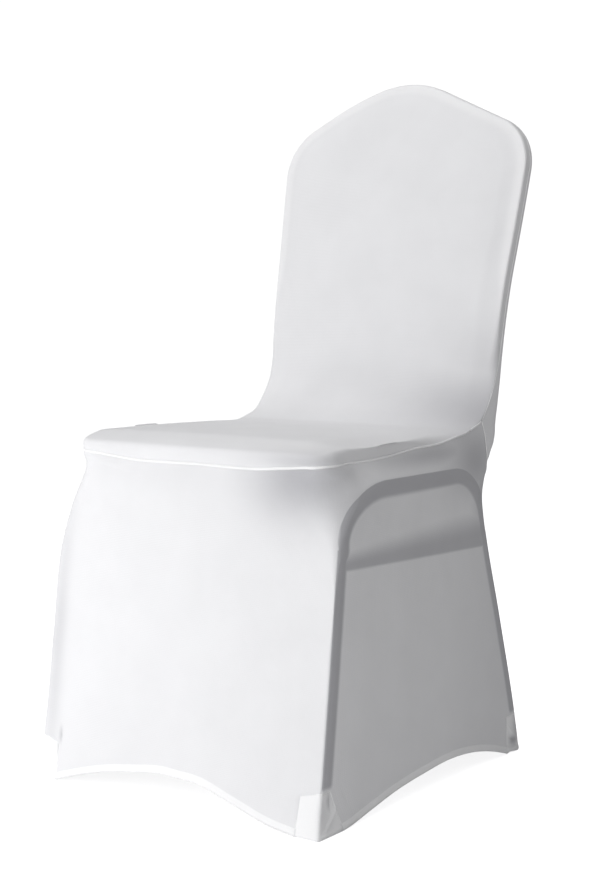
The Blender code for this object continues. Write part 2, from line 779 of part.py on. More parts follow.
def make_back_panel():
    """The outside back: half rings around its top, a patch within them, and columns hung below."""
    rings = []
    for ring in range(RINGS):
        left = rear_ring(ring)
        rings.append(np.concatenate([left * [-1, 1, 1], left[-2::-1]]))
    count = len(rings[0])
    ring_numbers = [np.arange(count) + ring * count for ring in range(RINGS)]
    inner, first = rings[-1], ring_numbers[-1][0]
    across = np.linspace(-1, 1, 2 * HALF_SEAT_STEPS + 1)
    bottom = np.stack([inner[-1, 0] * across, np.full_like(across, inner[0, 1])], axis=-1)
    left = np.arange(BACK_STEPS + 1)
    right = count - 1 - left
    crown = np.arange(BACK_STEPS, count - BACK_STEPS)
    patch = patch_between(bottom, inner[left, :2], inner[right, :2], inner[crown, :2])
    numbers, free = patch_numbers((-1, left + first, right + first, crown + first), RINGS * count)
    inside = patch[free]
    depth = BACK_THICKNESS + rear_dome(inside[:, 0], inside[:, 1])
    points = np.concatenate([rear_point(*ring.T) for ring in rings] + [rear_point(*inside.T, depth)])
    faces = grid_faces(numbers, every_face)
    for outer, inner in zip(ring_numbers, ring_numbers[1:]):
        faces += [face[::-1] for face in ring_faces(inner, outer)]
    right_end = [ring[0] for ring in ring_numbers[:-1]]
    left_end = [ring[-1] for ring in ring_numbers[-2::-1]]
    hung, faces_below = hang_lower_back(points, np.array(right_end + list(numbers[0]) + left_end))
    return cloth_object("back_panel", np.concatenate([points, hung]), faces + faces_below)


def pocket_corners(front, z):
    """Plan corners of a foot pocket at a height: front or rear edge, leg, side edge and inner corner."""
    height = np.array([z])
    place, inward = ("front", 1) if front else ("rear", -1)
    leg_x, leg_y = leg(place + "_x", height)[0], leg(place + "_y", height)[0]
    front_share, low, high = column(POCKET_EDGE_ROWS, POCKET_EDGE_COLUMNS, "rim")
    side_share = low if front else high
    side = skirt_section("side", low_share("side", side_share, height), height)[0]
    side_y = side[1] - inward * POCKET_GAP / 2
    if front:
        edge_x = skirt_section("front", low_share("front", front_share, height), height)[0, 0]
    else:
        edge_x = rear_band(RINGS - 1, height)[0, 0]
    edge_x += POCKET_GAP / 2
    inner_x = min(edge_x + POCKET_TAPER, leg_x - POCKET_LEG_ROOM)
    inner_depth = max(abs(side_y - leg_y) - POCKET_TAPER, POCKET_LEG_ROOM)
    return (
        (edge_x, leg_y, POCKET_EDGE_ROUND),
        (leg_x, leg_y, POCKET_LEG_ROUND),
        (side[0], side_y, POCKET_EDGE_ROUND),
        (inner_x, leg_y + inward * inner_depth, POCKET_INNER_ROUND),
    )


def closed_section(corners, inset):
    """A closed rounded section through plan corners, drawn in by an inset."""
    start = (np.array(corners[-1][:2]) + np.array(corners[0][:2])) / 2
    ends = ((*start, 0.0),)
    ring = rounded_path(ends + tuple(corners) + ends, POCKET_ARC_STEPS)[:-1]
    tangent = np.roll(ring, -1, axis=0) - np.roll(ring, 1, axis=0)
    tangent /= np.linalg.norm(tangent, axis=1, keepdims=True)
    outward = np.stack([tangent[:, 1], -tangent[:, 0]], axis=-1)
    outward *= np.sign(np.sum((ring - ring.mean(axis=0)) * outward))
    return ring - outward * inset


def make_pocket(name, front, side):
    """A foot pocket: a cup with a flat sole, open at the top."""
    heights = [*column(SOLE_ROWS, SOLE_COLUMNS, "z"), POCKET_TOP - POCKET_RIM_GAP - SEAM_GAP / 2]
    insets = [*column(SOLE_ROWS, SOLE_COLUMNS, "inset"), 0.0]
    rings = []
    for z, inset in zip(heights, insets):
        plan = closed_section(pocket_corners(front, z), inset)
        rings.append(np.column_stack([plan[:, 0] * side, plan[:, 1], np.full(len(plan), z)]))
    count = len(rings[0])
    faces = [tuple(range(count))[::-1]]
    for r in range(len(rings) - 1):
        for c in range(count):
            after = (c + 1) % count
            faces.append((r * count + c, r * count + after, (r + 1) * count + after, (r + 1) * count + c))
    around = np.roll(rings[0], -1, axis=0)
    turning = np.sum(rings[0][:, 0] * around[:, 1] - rings[0][:, 1] * around[:, 0])
    if turning < 0:
        faces = [face[::-1] for face in faces]
    return cloth_object(name, np.concatenate(rings), faces)


def centre_over_origin(pieces):
    """Stand the whole cover with the middle of its depth over the origin."""
    depths = [vertex.co.y for piece in pieces for vertex in piece.data.vertices]
    for piece in pieces:
        piece.location.y = -(min(depths) + max(depths)) / 2


def main():
    for old in list(bpy.data.objects):
        bpy.data.objects.remove(old)
    pieces = [make_front_panel(), make_back_panel(), make_skirt()]
    for front, place in ((True, "front"), (False, "rear")):
        for side, hand in ((1, "left"), (-1, "right")):
            pieces.append(make_pocket(f"foot_pocket_{place}_{hand}", front, side))
    centre_over_origin(pieces)


main()
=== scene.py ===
"""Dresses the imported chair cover: fine cloth for each cut piece, its seams, and a pale studio around it.

Metres, +Z up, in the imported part's frame. The front faces -Y, and left is the cover's own left, +X.
"""

import math
from functools import partial

import bpy
import numpy as np
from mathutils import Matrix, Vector
from mathutils.kdtree import KDTree


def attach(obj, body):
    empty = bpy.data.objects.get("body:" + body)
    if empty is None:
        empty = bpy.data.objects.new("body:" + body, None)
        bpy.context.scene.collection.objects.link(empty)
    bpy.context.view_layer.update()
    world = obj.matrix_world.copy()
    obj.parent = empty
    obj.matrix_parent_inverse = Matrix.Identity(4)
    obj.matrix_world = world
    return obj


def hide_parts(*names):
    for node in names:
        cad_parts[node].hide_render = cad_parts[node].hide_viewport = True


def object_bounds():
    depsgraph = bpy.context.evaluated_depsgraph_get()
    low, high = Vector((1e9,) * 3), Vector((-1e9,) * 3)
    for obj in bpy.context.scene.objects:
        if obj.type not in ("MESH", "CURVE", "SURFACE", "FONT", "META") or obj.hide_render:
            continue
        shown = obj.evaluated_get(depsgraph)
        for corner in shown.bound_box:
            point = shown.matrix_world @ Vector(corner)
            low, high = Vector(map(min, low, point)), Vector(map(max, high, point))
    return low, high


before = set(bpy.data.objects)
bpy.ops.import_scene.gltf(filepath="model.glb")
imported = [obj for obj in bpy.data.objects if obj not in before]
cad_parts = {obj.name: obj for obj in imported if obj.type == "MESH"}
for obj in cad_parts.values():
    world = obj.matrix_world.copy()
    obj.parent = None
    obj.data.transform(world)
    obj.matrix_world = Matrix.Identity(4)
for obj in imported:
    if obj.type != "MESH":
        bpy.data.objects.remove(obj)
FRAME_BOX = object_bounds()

bl_info = {
    "name": "Stretch chair cover",
    "version": (1, 0, 0),
    "blender": (4, 5, 0),
    "location": "3D View > Sidebar > Chair cover",
    "description": "Builds a fitted stretch cover for a banquet chair, piece by piece",
    "category": "Add Mesh",
}

# How far the middle of the cover's depth lies behind the line that all depths below are measured from
MIDDLE_Y = 0.0162

# Gaps between pieces: sewn seams, and the small shoulder that each leaves beside it
SEAM_GAP = 0.0003
SEAM_FLAT = 0.004

# The back: its front face leans back from the seat
BACK_FOOT_Y, BACK_FOOT_Z = 0.2001, 0.600
RECLINE = math.radians(11.47)
BACK_THICKNESS = 0.0245
BACK_EDGE_RADIUS = 0.007
REAR_DOME = 0.003

# The path that the inside back and seat follow, seen from the side
SEAT_FRONT_Y, SEAT_FRONT_Z = -0.213, 0.4535
SEAT_BREAK_Y, SEAT_BREAK_Z = -0.165, 0.4655
SEAT_REAR_Z = 0.4660
SEAT_BREAK_RADIUS = 0.050
LAP_RADIUS = 0.085
CROWN_LINE_Z = 0.9650

# The padding under it: rise in the middle, and the reach along the path that each dome takes
SEAT_DOME, SEAT_DOME_END = 0.006, 0.33
BACK_DOME, BACK_DOME_START = 0.007, 0.36

# The outline of that piece laid flat: half widths, heights on the back and corner radii
SEAT_HALF_WIDTH, SEAT_CORNER_RADIUS = 0.2110, 0.025
NECK_HALF_WIDTH, NECK_Z, NECK_RADIUS = 0.1965, 0.530, 0.60
SHOULDER_HALF_WIDTH, SHOULDER_Z, SHOULDER_RADIUS = 0.2125, 0.873, 0.075
APEX_RADIUS = 0.140

# How far the seam lies below the cover's edge, along the outline from the middle of the seat's front
SEAM_DROP_COLUMNS = ("reach", "drop")
SEAM_DROP_ROWS = (
    (0.000, 0.0207), (0.050, 0.0215), (0.100, 0.0214), (0.150, 0.0175), (0.186, 0.0148), (0.206, 0.0152),
    (0.225, 0.0188), (0.244, 0.0222), (0.288, 0.0232), (0.333, 0.0214), (0.403, 0.0154), (0.464, 0.0130),
    (0.507, 0.0070), (0.550, 0.0042), (0.572, 0.0070), (0.587, 0.0045), (0.610, 0.0040), (0.630, 0.0060),
    (0.655, 0.0105), (0.690, 0.0123), (0.720, 0.0125), (0.750, 0.0125), (1.300, 0.0125),
)

# The most of that depth which the edge's roll takes, and how wide the closed border inside the roll is
EDGE_SHARE = 0.8
BORDER_WIDTH = 0.014

# How wide the edge above the seam rolls over, along the same outline: crisp along the seat's sides
EDGE_COLUMNS = ("reach", "roll")
EDGE_ROWS = (
    (0.000, 0.0090), (0.190, 0.0090), (0.225, 0.0070), (0.250, 0.0045), (0.400, 0.0040), (0.440, 0.0120),
    (0.490, 0.0300), (0.590, 0.0300), (0.640, 0.0120), (0.690, 0.0050), (0.720, 0.0030), (0.760, 0.0030),
    (1.300, 0.0030),
)

# How far the seat's top sags towards its left side, along the path from the front; then over what width, and
# how much of that its right side sags
SAG_COLUMNS = ("reach", "sag")
SAG_ROWS = (
    (0.000, 0.0000), (0.022, 0.0005), (0.050, 0.0045), (0.090, 0.0064), (0.170, 0.0047), (0.260, 0.0032),
    (0.330, 0.0010), (0.370, 0.0000), (0.400, 0.0000), (1.300, 0.0000),
)
SAG_WIDTH, RIGHT_SAG_SHARE = 0.055, 0.05

# The fuller padding that shows in the cloth: how much rounder the back is, and how the lap is filled
BACK_FULLNESS, FULL_START, FULL_END, FULL_CROWN_SHARE = 0.007, 0.38, 0.60, 0.4
LAP_START, LAP_END, LAP_SOFT, LAP_FILL, LAP_EDGE = 0.335, 0.450, 0.080, 0.004, 0.035

# Where the three seams meet at each side, and how far before it the skirt turns to the rear
JUNCTION_Z = 0.4765
REAR_TURN = 0.030

# The legs that the skirt is stretched over, a row for each height
LEG_COLUMNS = ("z", "front_x", "front_y", "round_x", "round_y", "rear_x", "rear_y", "front_bow")
LEG_ROWS = (
    (0.000, 0.2393, -0.2620, 0.0040, 0.0040, 0.2040, 0.2635, 0.0000),
    (0.060, 0.2365, -0.2512, 0.0040, 0.0040, 0.2035, 0.2495, 0.0000),
    (0.200, 0.2347, -0.2328, 0.0045, 0.0045, 0.2035, 0.2078, 0.0020),
    (0.320, 0.2322, -0.2168, 0.0070, 0.0060, 0.2032, 0.1702, 0.0040),
    (0.350, 0.2300, -0.2112, 0.0160, 0.0110, 0.2030, 0.1626, 0.0045),
    (0.377, 0.2265, -0.2090, 0.0360, 0.0230, 0.2025, 0.1600, 0.0040),
    (0.398, 0.2220, -0.2095, 0.0500, 0.0430, 0.2020, 0.1630, 0.0028),
    (0.418, 0.2165, -0.2110, 0.0480, 0.0500, 0.2012, 0.1640, 0.0014),
    (0.440, 0.2110, -0.2130, 0.0270, 0.0290, 0.2005, 0.1620, 0.0000),
    (0.4765, 0.2105, -0.2130, 0.0250, 0.0250, 0.2000, 0.1500, 0.0000),
)

# Height up to which the legs are straight, and the side between them is flat
STRAIGHT_LEG_TOP = 0.350

# The seam between skirt and outside back: its place and the way it faces, 0 to the side, 90 to the rear
REAR_SEAM_COLUMNS = ("z", "x", "y", "turn")
REAR_SEAM_ROWS = (
    (0.000, 0.1890, 0.2635, 90.0),
    (0.060, 0.1890, 0.2495, 90.0),
    (0.200, 0.1890, 0.2078, 90.0),
    (0.320, 0.1890, 0.1702, 90.0),
    (0.350, 0.1890, 0.1626, 90.0),
    (0.377, 0.1900, 0.1615, 90.0),
    (0.395, 0.1925, 0.1672, 85.0),
    (0.4105, 0.1975, 0.1705, 55.0),
    (0.425, 0.2000, 0.1700, 15.0),
    (0.440, 0.2002, 0.1675, 0.0),
    (0.459, 0.2002, 0.1630, 0.0),
)

# How far before that seam, or the rear leg, the skirt's side starts to turn
REAR_ROUND = 0.012

# The rear line of the outside back below the back itself, and how far its middle stands behind it
REAR_LINE_COLUMNS = ("z", "y", "bow")
REAR_LINE_ROWS = (
    (0.000, 0.2635, -0.004), (0.060, 0.2495, -0.003), (0.200, 0.2078, 0.002), (0.300, 0.1765, 0.008),
    (0.340, 0.1648, 0.012), (0.365, 0.1594, 0.015), (0.390, 0.1655, 0.012), (0.4167, 0.1745, 0.008),
    (0.440, 0.1900, 0.002), (0.4765, 0.2000, 0.002),
)

# Its edge lies on the legs, with coarse columns this far from the seam, and turns into the back's own edge
# between two heights
LEG_BAND = (0.008, 0.012, 0.019)
WRAP_LOW_Z, WRAP_HIGH_Z = 0.415, 0.445

# The bent side tube under the skirt: the outer line of its two bends, middle and reach of each
FRONT_BEND_Y, FRONT_BEND_Z, FRONT_BEND_ACROSS, FRONT_BEND_UP = -0.098, 0.343, 0.110, 0.075
REAR_BEND_Y, REAR_BEND_Z, REAR_BEND_ACROSS, REAR_BEND_UP = 0.075, 0.330, 0.090, 0.088

# Hem heights along the front, from right foot to left, and along a side, from front foot to rear
HEM_COLUMNS = ("share", "z")
FRONT_HEM_ROWS = (
    (-0.861, 0.0010), (-0.700, 0.0125), (-0.575, 0.0205), (-0.267, 0.0333), (-0.075, 0.0385),
    (0.020, 0.0378), (0.180, 0.0361), (0.439, 0.0208), (0.689, 0.0059), (0.861, 0.0005),
)
SIDE_HEM_ROWS = (
    (0.104, 0.0010), (0.125, 0.0020), (0.237, 0.0110), (0.361, 0.0210), (0.498, 0.0275), (0.630, 0.0310),
    (0.761, 0.0255), (0.860, 0.0145), (0.936, 0.0030),
)

# The rear hem is one arch: its rise, and its height beside the pockets
REAR_HEM_RISE = 0.036
REAR_HEM_FLOOR = 0.003

# Foot pockets: height of their rims, how far the front ones slope, and how deep the skirt lies under them
POCKET_TOP, RIM_FALL, UNDERLAP = 0.0555, 0.0060, 0.0025

# The shares of front and side at which they border the skirt, at their rim and at the floor; a side has a low
# share, near the front leg, and a high one, near the rear leg
FRONT_RIM, FRONT_FLOOR = 0.872, 0.861
LOW_RIM, LOW_FLOOR = 0.030, 0.104
HIGH_RIM, HIGH_FLOOR = 0.960, 0.936

# Their inner walls: the gap at each edge, the round of the inner corner, the room for the leg, and the taper
POCKET_GAP, POCKET_INNER_ROUND, POCKET_LEG_ROOM, POCKET_TAPER = 0.0002, 0.008, 0.030, 0.004

# Their soles, rounded and set in, which rise towards the wall and a little towards a rear pocket's side edge
SOLE_INSET, SOLE_ROUND = 0.0025, 0.004
WALL_RISE, WALL_REACH = 0.018, 0.012
REAR_EDGE_RISE, REAR_EDGE_REACH = 0.0045, 0.045

# How the seam's own line carries down into each panel, and how the rows of a panel crowd below it
SEAM_HOLD = 0.050
ROW_CROWDING = 1.3

# What prints through the skirt: the tube's width and edges, the brace's heights, and the seat pan's lip. Tube
# and brace
# also grey the knit: the tube partly as painted shade, the brace as a painted shadow
TUBE_WIDTH, TUBE_OUTER_SOFT, TUBE_INNER_SOFT = 0.0215, 0.0018, 0.0080
TUBE_LIFT = 0.0009
BRACE_FRONT_Y, BRACE_FRONT_Z, BRACE_REAR_Y, BRACE_REAR_Z = -0.190, 0.3160, 0.145, 0.3055
BRACE_SOFT, BRACE_FRONT_FADE, BRACE_REAR_FADE = 0.0050, 0.026, 0.060
BRACE_LIFT, BRACE_SHADE, BRACE_FULL_SHARE = 0.0006, 0.86, 0.25
FOOT_FADE = 0.008
LIP_DROP, LIP_CORNER_DROP, LIP_LIFT, LIP_SOFT = 0.021, 0.013, 0.0014, 0.006
LIP_START_X, LIP_FULL_X, LIP_MIDDLE_SHARE = 0.060, 0.170, 0.3

# The turned hem and its edge
HEM_LIFT, HEM_SOFT = 0.0005, 0.0012

# Creases in the cloth, as soft ridges, or troughs where the height is negative, from one end to the other.
# Across is the place along the panel: x on the front and rear, y on a side, and on a pocket the way round
# from the leg's corner, with the front or rear face below 0.
CREASE_COLUMNS = ("panel", "across", "z", "across_end", "z_end", "half_width", "height")
CREASE_ROWS = (
    ("left", -0.2150, 0.0560, -0.2010, 0.0150, 0.0022, 0.0012),
    ("left", -0.2020, 0.0300, -0.1860, 0.0060, 0.0020, 0.0010),
    ("left", -0.2100, 0.0620, -0.1980, 0.0980, 0.0030, -0.0008),
    ("left", 0.2160, 0.0120, 0.2020, 0.0360, 0.0022, 0.0010),
    ("front", 0.1900, 0.0240, 0.1700, 0.0110, 0.0022, 0.0011),
    ("front", 0.1860, 0.0130, 0.1620, 0.0070, 0.0018, 0.0009),
    ("front", 0.1940, 0.0560, 0.1860, 0.0800, 0.0030, -0.0008),
    ("front", -0.2030, 0.0660, -0.2045, 0.0500, 0.0026, -0.0020),
    ("front", -0.1980, 0.0700, -0.1960, 0.0480, 0.0028, 0.0010),
    ("front", -0.2030, 0.0135, -0.1815, 0.0263, 0.0018, 0.0011),
    ("front", -0.2030, 0.0220, -0.1920, 0.0300, 0.0016, 0.0010),
    ("front", -0.2030, 0.0180, -0.1860, 0.0285, 0.0016, -0.0008),
    ("right", -0.2100, 0.0500, -0.1960, 0.0180, 0.0024, 0.0012),
    ("right", 0.2150, 0.0140, 0.2010, 0.0380, 0.0022, 0.0010),
    ("rear", 0.1640, 0.0220, 0.1450, 0.0100, 0.0022, 0.0011),
    ("rear", -0.1640, 0.0240, -0.1440, 0.0120, 0.0022, 0.0011),
)

# Where the chair's legs and feet show softly through the stretched knit, and painted shade at the seat's
# front corner, under it on the skirt, in the lap and up the back's lower sides, and along the skirt's upper
# sides: the middle and half sizes of each place, and how strongly it shows
SHOW_AND_SHADE_COLUMNS = ("piece", "x", "y", "z", "half_x", "half_y", "half_z", "share")
SHOW_AND_SHADE_ROWS = (
    ("front_panel", 0.205, 0.165, 0.490, 0.130, 0.085, 0.045, 0.82),
    ("front_panel", 0.190, 0.190, 0.560, 0.070, 0.050, 0.050, 0.26),
    ("front_panel", 0.190, -0.222, 0.446, 0.078, 0.030, 0.013, 0.80),
    ("skirt", 0.170, -0.215, 0.425, 0.078, 0.060, 0.050, 1.00),
    ("skirt", -0.020, -0.213, 0.430, 0.200, 0.030, 0.030, 0.09),
    ("skirt", 0.203, 0.140, 0.425, 0.050, 0.075, 0.045, 0.85),
    ("skirt", 0.203, 0.160, 0.375, 0.030, 0.030, 0.045, 0.80),
    ("skirt", 0.208, 0.020, 0.440, 0.030, 0.120, 0.014, 0.74),
    ("skirt", 0.203, 0.220, 0.200, 0.060, 0.120, 0.250, 0.22),
    ("skirt", -0.222, -0.235, 0.180, 0.014, 0.050, 0.200, 0.39),
    ("skirt", -0.2030, -0.254, 0.060, 0.0035, 0.020, 0.010, 0.70),
    ("foot_pocket_front_right", -0.2045, -0.257, 0.048, 0.0030, 0.020, 0.010, 1.00),
    ("foot_pocket_front_left", 0.238, -0.238, 0.044, 0.010, 0.007, 0.013, 0.60),
    ("foot_pocket_front_left", 0.238, -0.250, 0.032, 0.006, 0.018, 0.030, 0.30),
    ("foot_pocket_rear_left", 0.204, 0.248, 0.036, 0.012, 0.012, 0.030, 0.75),
    ("foot_pocket_rear_left", 0.204, 0.240, 0.018, 0.012, 0.016, 0.009, 0.95),
)

# How far round a pocket's cloth reaches, and its creases
POCKET_GIRTH = 0.150
POCKET_CREASE_ROWS = (
    ("pockets", 0.0440, 0.0058, 0.0060, 0.0045, 0.0026, 0.0016),
    ("foot_pocket_front_left", 0.0175, 0.0500, 0.0215, 0.0330, 0.0022, -0.0016),
    ("foot_pocket_front_left", 0.0370, 0.0325, 0.0110, 0.0066, 0.0030, 0.0018),
    ("foot_pocket_front_left", 0.0480, 0.0060, 0.0060, 0.0045, 0.0030, 0.0014),
    ("foot_pocket_front_right", -0.0310, 0.0550, -0.0315, 0.0360, 0.0020, -0.0026),
    ("foot_pocket_front_right", -0.0260, 0.0088, -0.0345, 0.0130, 0.0018, 0.0010),
    ("foot_pocket_front_right", -0.0260, 0.0175, -0.0345, 0.0215, 0.0016, 0.0009),
    ("foot_pocket_front_right", 0.0340, 0.0300, 0.0120, 0.0110, 0.0024, 0.0012),
    ("foot_pocket_rear_left", 0.0310, 0.0560, 0.0300, 0.0500, 0.0010, 0.0010),
    ("foot_pocket_rear_left", 0.0300, 0.0400, 0.0205, 0.0265, 0.0016, 0.0014),
    ("foot_pocket_rear_left", 0.0320, 0.0240, 0.0060, 0.0130, 0.0034, -0.0024),
    ("foot_pocket_rear_left", 0.0417, 0.0118, 0.0120, 0.0097, 0.0016, 0.0020),
    ("foot_pocket_rear_right", 0.0350, 0.0130, 0.0100, 0.0085, 0.0018, 0.0014),
    ("foot_pocket_rear_right", 0.0300, 0.0300, 0.0100, 0.0180, 0.0030, -0.0014),
)

# How much of a crease's height is left at its two ends
CREASE_END_SHARE = 0.35

# Puckers beside a seam: spacing, depth, how far they run into the cloth, and how they come and go along it
PUCKER_PITCH, PUCKER_LIFT, PUCKER_REACH = 0.011, 0.00018, 0.012
PUCKER_DRIFT, PUCKER_STEADY, PUCKER_SWING = 0.080, 0.6, 0.4

# Slow waves of unequal tension down a panel: how far from its edges they set in, wide and fine ones, and how
# steeply they run across the inside back
WAVE_LIFT, WAVE_FADE = 0.00030, 0.080
WIDE_WAVE_PITCH, WIDE_WAVE_SHARE = 0.083, 0.7
FINE_WAVE_PITCH, FINE_WAVE_SHARE, FINE_WAVE_START = 0.031, 0.3, 1.0
WAVE_STEEPNESS = 6

# Cloth faces sideways, or forwards, from about this share of its normal, over this width
SIDE_FACING, SIDE_FACING_SOFT = 0.70, 0.25
FRONT_FACING, FRONT_FACING_SOFT = 0.8, 0.2

# The pad's own edge inside the back's frame
PAD_EDGE, PAD_EDGE_SOFTNESS, PAD_RISE, PAD_START = 0.026, 0.022, 0.0014, 0.12

# A paler border painted round the back's edge where it faces forward, a painted highlight on the flat rim
# beside the pad:
# width, the stretch in which it sets in, and how near it comes to plain knit, where a doubled hem is 0
LIT_BORDER_WIDTH, LIT_BORDER_START, LIT_BORDER_END, LIT_BORDER_PLAINNESS = 0.020, 0.47, 0.62, 0.5

# The right slope of the crown is pulled fuller: how much, about where, and from which height
CROWN_RISE, CROWN_RISE_X, CROWN_RISE_WIDTH = 0.0062, -0.100, 0.060
CROWN_RISE_START, CROWN_RISE_FULL = 0.80, 0.90

# The back's left edge is drawn in or out by the cover's uneven pull: how far outwards at each height
DRAW_COLUMNS = ("z", "draw")
DRAW_ROWS = (
    (0.440, 0.0000), (0.477, 0.0000), (0.500, 0.0010), (0.530, 0.0012), (0.560, -0.0004), (0.600, -0.0026),
    (0.640, -0.0038), (0.670, -0.0038), (0.700, -0.0029), (0.740, -0.0016), (0.800, -0.0003),
    (0.860, 0.0000), (1.000, 0.0000),
)

# Sewn ridges: half height beside their width, how much each stitch draws them in, and how blunt they end
SEAM_HEIGHT, STITCH_SWELL, SEAM_BLUNTNESS = 0.28, 0.18, 0.1

# The knit: real ribs are 0.9 mm and rows 0.6 mm apart, too fine to show, so both are drawn coarser
RIB_PITCH, RIB_UNEVENNESS = 0.0028, 0.3
ROW_PITCH, ROW_UNEVENNESS = 0.0022, 0.2

# Its fibres, a tone that drifts with the stretch, and a stitch line along the hem: sizes, ranges and depths
FIBRE_SIZE, DRIFT_SIZE = 0.0012, 0.070
DRIFT_LOW, DRIFT_HIGH, DRIFT_SHADE, WEAVE_SHADE = 0.3, 0.7, 0.97, 0.985
KNIT_SMOOTHEST, KNIT_ROUGHEST = 0.74, 0.88
KNIT_RELIEF, FIBRE_SHARE = 0.00025, 0.6
STITCH_LINE_WIDTH, STITCH_LINE_SHARE = 0.0004, 2.0

# The thread crosses the seam once in each stitch, for which a diagonal wave takes half a stitch as its pitch;
# then how white it is between its loops, and how deep they are
THREAD_PITCH, THREAD_SHADE, THREAD_RELIEF = 0.0015, 0.98, 0.0005

# A wave texture of scale 1 repeats every pi / 10 metres
WAVE_SCALE = math.pi / 10

# Steps of the meshes: along each stretch of an outline, down the panels, and round and up the pockets
FRONT_STEPS, FRONT_FOOT_STEPS, CORNER_STEPS = 36, 6, 8
SIDE_EDGE_STEPS, SIDE_STEPS, SIDE_FOOT_STEPS, REAR_STEPS = 3, 80, 5, 5
SIDE_ROWS, HEM_ROWS = 92, 14
BACK_STEPS = 76
ARC_STEPS, POCKET_ARC_STEPS = 24, 8
FACE_STEPS, WALL_STEPS, POCKET_UP, SOLE_STEPS = 84, 36, 28, 4
SOLE_SHARES = (0.75, 0.5, 0.25, 0.03)
SEAM_STEP, SEAM_SIDES = 0.0009, 10

# Five coarse rings run inwards from a seam: how far padding lifts each, and where the fine rings lie on them
RING_LIFT = (0.0, 0.0, 0.0, 0.25, 1.0)
RING_MARKS = np.array([0, 0.25, 0.5, 0.75, 1, 1.33, 1.67, 2, 2.33, 2.67, 3, 3.33, 3.67, 4])
RINGS = len(RING_MARKS)

# Steps for reading curves, the slack in comparing two numbers, and a distance that is past every edge
FINE_STEPS = 400
DISTANCE_STEP, TANGENT_STEP = 0.0004, 0.001
SLACK = 1e-6
FAR = 1.0

HALF_SEAT_STEPS = FRONT_STEPS + FRONT_FOOT_STEPS + CORNER_STEPS // 2

# The room: how bright it looks and how much light it gives, then the floor's own glow, which keeps it as pale
ROOM_SEEN, ROOM_FILL, FLOOR_GLOW = 1.05, 0.25, 0.93
FLOOR_DROP, FLOOR_GRAIN = 0.0005, 3.0
LAMP_TARGET_Z = 0.45
LAMP_COLUMNS = ("name", "azimuth", "elevation", "distance", "width", "height", "watts")
LAMP_ROWS = (
    ("front_lamp", 10.0, 1.0, 2.4, 1.0, 1.0, 12.5),
    ("near_left_lamp", -28.0, -4.0, 1.3, 0.6, 0.6, 4.5),
    ("left_lamp", -80.0, 40.0, 2.4, 1.0, 1.0, 10.3),
    ("right_lamp", 40.0, 36.0, 2.4, 1.0, 1.0, 6.3),
    ("top_lamp", 0.0, 88.0, 2.2, 1.4, 1.4, 13.6),
)

# The camera
CAMERA_PLACE = (1.4834, -1.9119, 0.6485)
CAMERA_TURN, CAMERA_DIP = 38.156, 4.923
SENSOR_HEIGHT, LENS = 24.0, 47.71
CAMERA_SHIFT = (0.00894, 0.0006)


def column(rows, columns, name):
    """One named column of a table, as an array."""
    return np.array([row[columns.index(name)] for row in rows])


def table_value(rows, columns, name, at):
    """A smooth curve through a table's column, read at places along its first column."""
    key = column(rows, columns, columns[0])
    value = column(rows, columns, name)
    slope = np.gradient(value, key)
    at = np.clip(at, key[0], key[-1])
    i = np.clip(np.searchsorted(key, at) - 1, 0, len(key) - 2)
    step = key[i + 1] - key[i]
    t = (at - key[i]) / step
    rise = value[i + 1] - value[i]
    swing = (1 - t) * (slope[i] * step - rise) - t * (slope[i + 1] * step - rise)
    return value[i] + rise * t + t * (1 - t) * swing


def rows_of(rows, piece):
    """The rows of a table that are about one piece."""
    return [row for row in rows if row[0] == piece]


def eased(share):
    """A share from 0 to 1, made to start and end gently."""
    share = np.clip(share, 0, 1)
    return share * share * (3 - 2 * share)


def through(knots, at):
    """A curve through rows of knots that never overshoots them, read at fractional rows."""
    step = np.diff(knots, axis=0)
    before, after = step[:-1], step[1:]
    alike = before * after > 0
    mean = np.where(alike, 2 * before * after / np.where(alike, before + after, 1), 0)
    slope = np.concatenate([step[:1], mean, step[-1:]])
    i = np.clip(np.floor(at).astype(int), 0, len(knots) - 2)
    t = (at - i).reshape((-1,) + (1,) * (knots.ndim - 1))
    rise = step[i]
    swing = (1 - t) * (slope[i] - rise) - t * (slope[i + 1] - rise)
    return knots[i] + rise * t + t * (1 - t) * swing


def unit(vectors):
    """Vectors at length 1."""
    return vectors / np.linalg.norm(vectors, axis=-1, keepdims=True)


def arch(share):
    """A share from 0 to 1 as an arch: 0 at both ends and 1 in the middle."""
    return 4 * share * (1 - share)


def rounded_path(corners, arc_steps=ARC_STEPS):
    """A path of straight runs whose corners are arcs: rows of two coordinates and a radius."""
    points = [np.array(corners[0][:2])]
    for before, here, after in zip(corners, corners[1:], corners[2:]):
        corner, radius = np.array(here[:2]), here[2]
        arrive = unit(corner - np.array(before[:2]))
        leave = unit(np.array(after[:2]) - corner)
        turn = math.acos(np.clip(arrive @ leave, -1, 1))
        hand = np.sign(arrive[0] * leave[1] - arrive[1] * leave[0]) or 1.0
        across = hand * np.array([-arrive[1], arrive[0]])
        centre = corner - arrive * radius * math.tan(turn / 2) + across * radius
        for angle in np.linspace(0, turn, arc_steps + 1):
            points.append(centre + radius * (arrive * math.sin(angle) - across * math.cos(angle)))
    points.append(np.array(corners[-1][:2]))
    return np.array(points)


def path_reaches(path):
    """Length of a path up to each of its points."""
    steps = np.linalg.norm(np.diff(path, axis=0), axis=1)
    return np.concatenate([[0], np.cumsum(steps)])


def path_length(path):
    """Whole length of a path."""
    return float(path_reaches(path)[-1])


def along(path, lengths):
    """Points at the given lengths along a path of many short steps."""
    reach = path_reaches(path)
    return np.stack([np.interp(lengths, reach, path[:, i]) for i in range(path.shape[1])], axis=-1)


def path_tangent(path, lengths):
    """Unit direction of a path at the given lengths."""
    end = path_length(path)
    ahead = along(path, np.clip(lengths + TANGENT_STEP, 0, end))
    behind = along(path, np.clip(lengths - TANGENT_STEP, 0, end))
    return unit(ahead - behind)


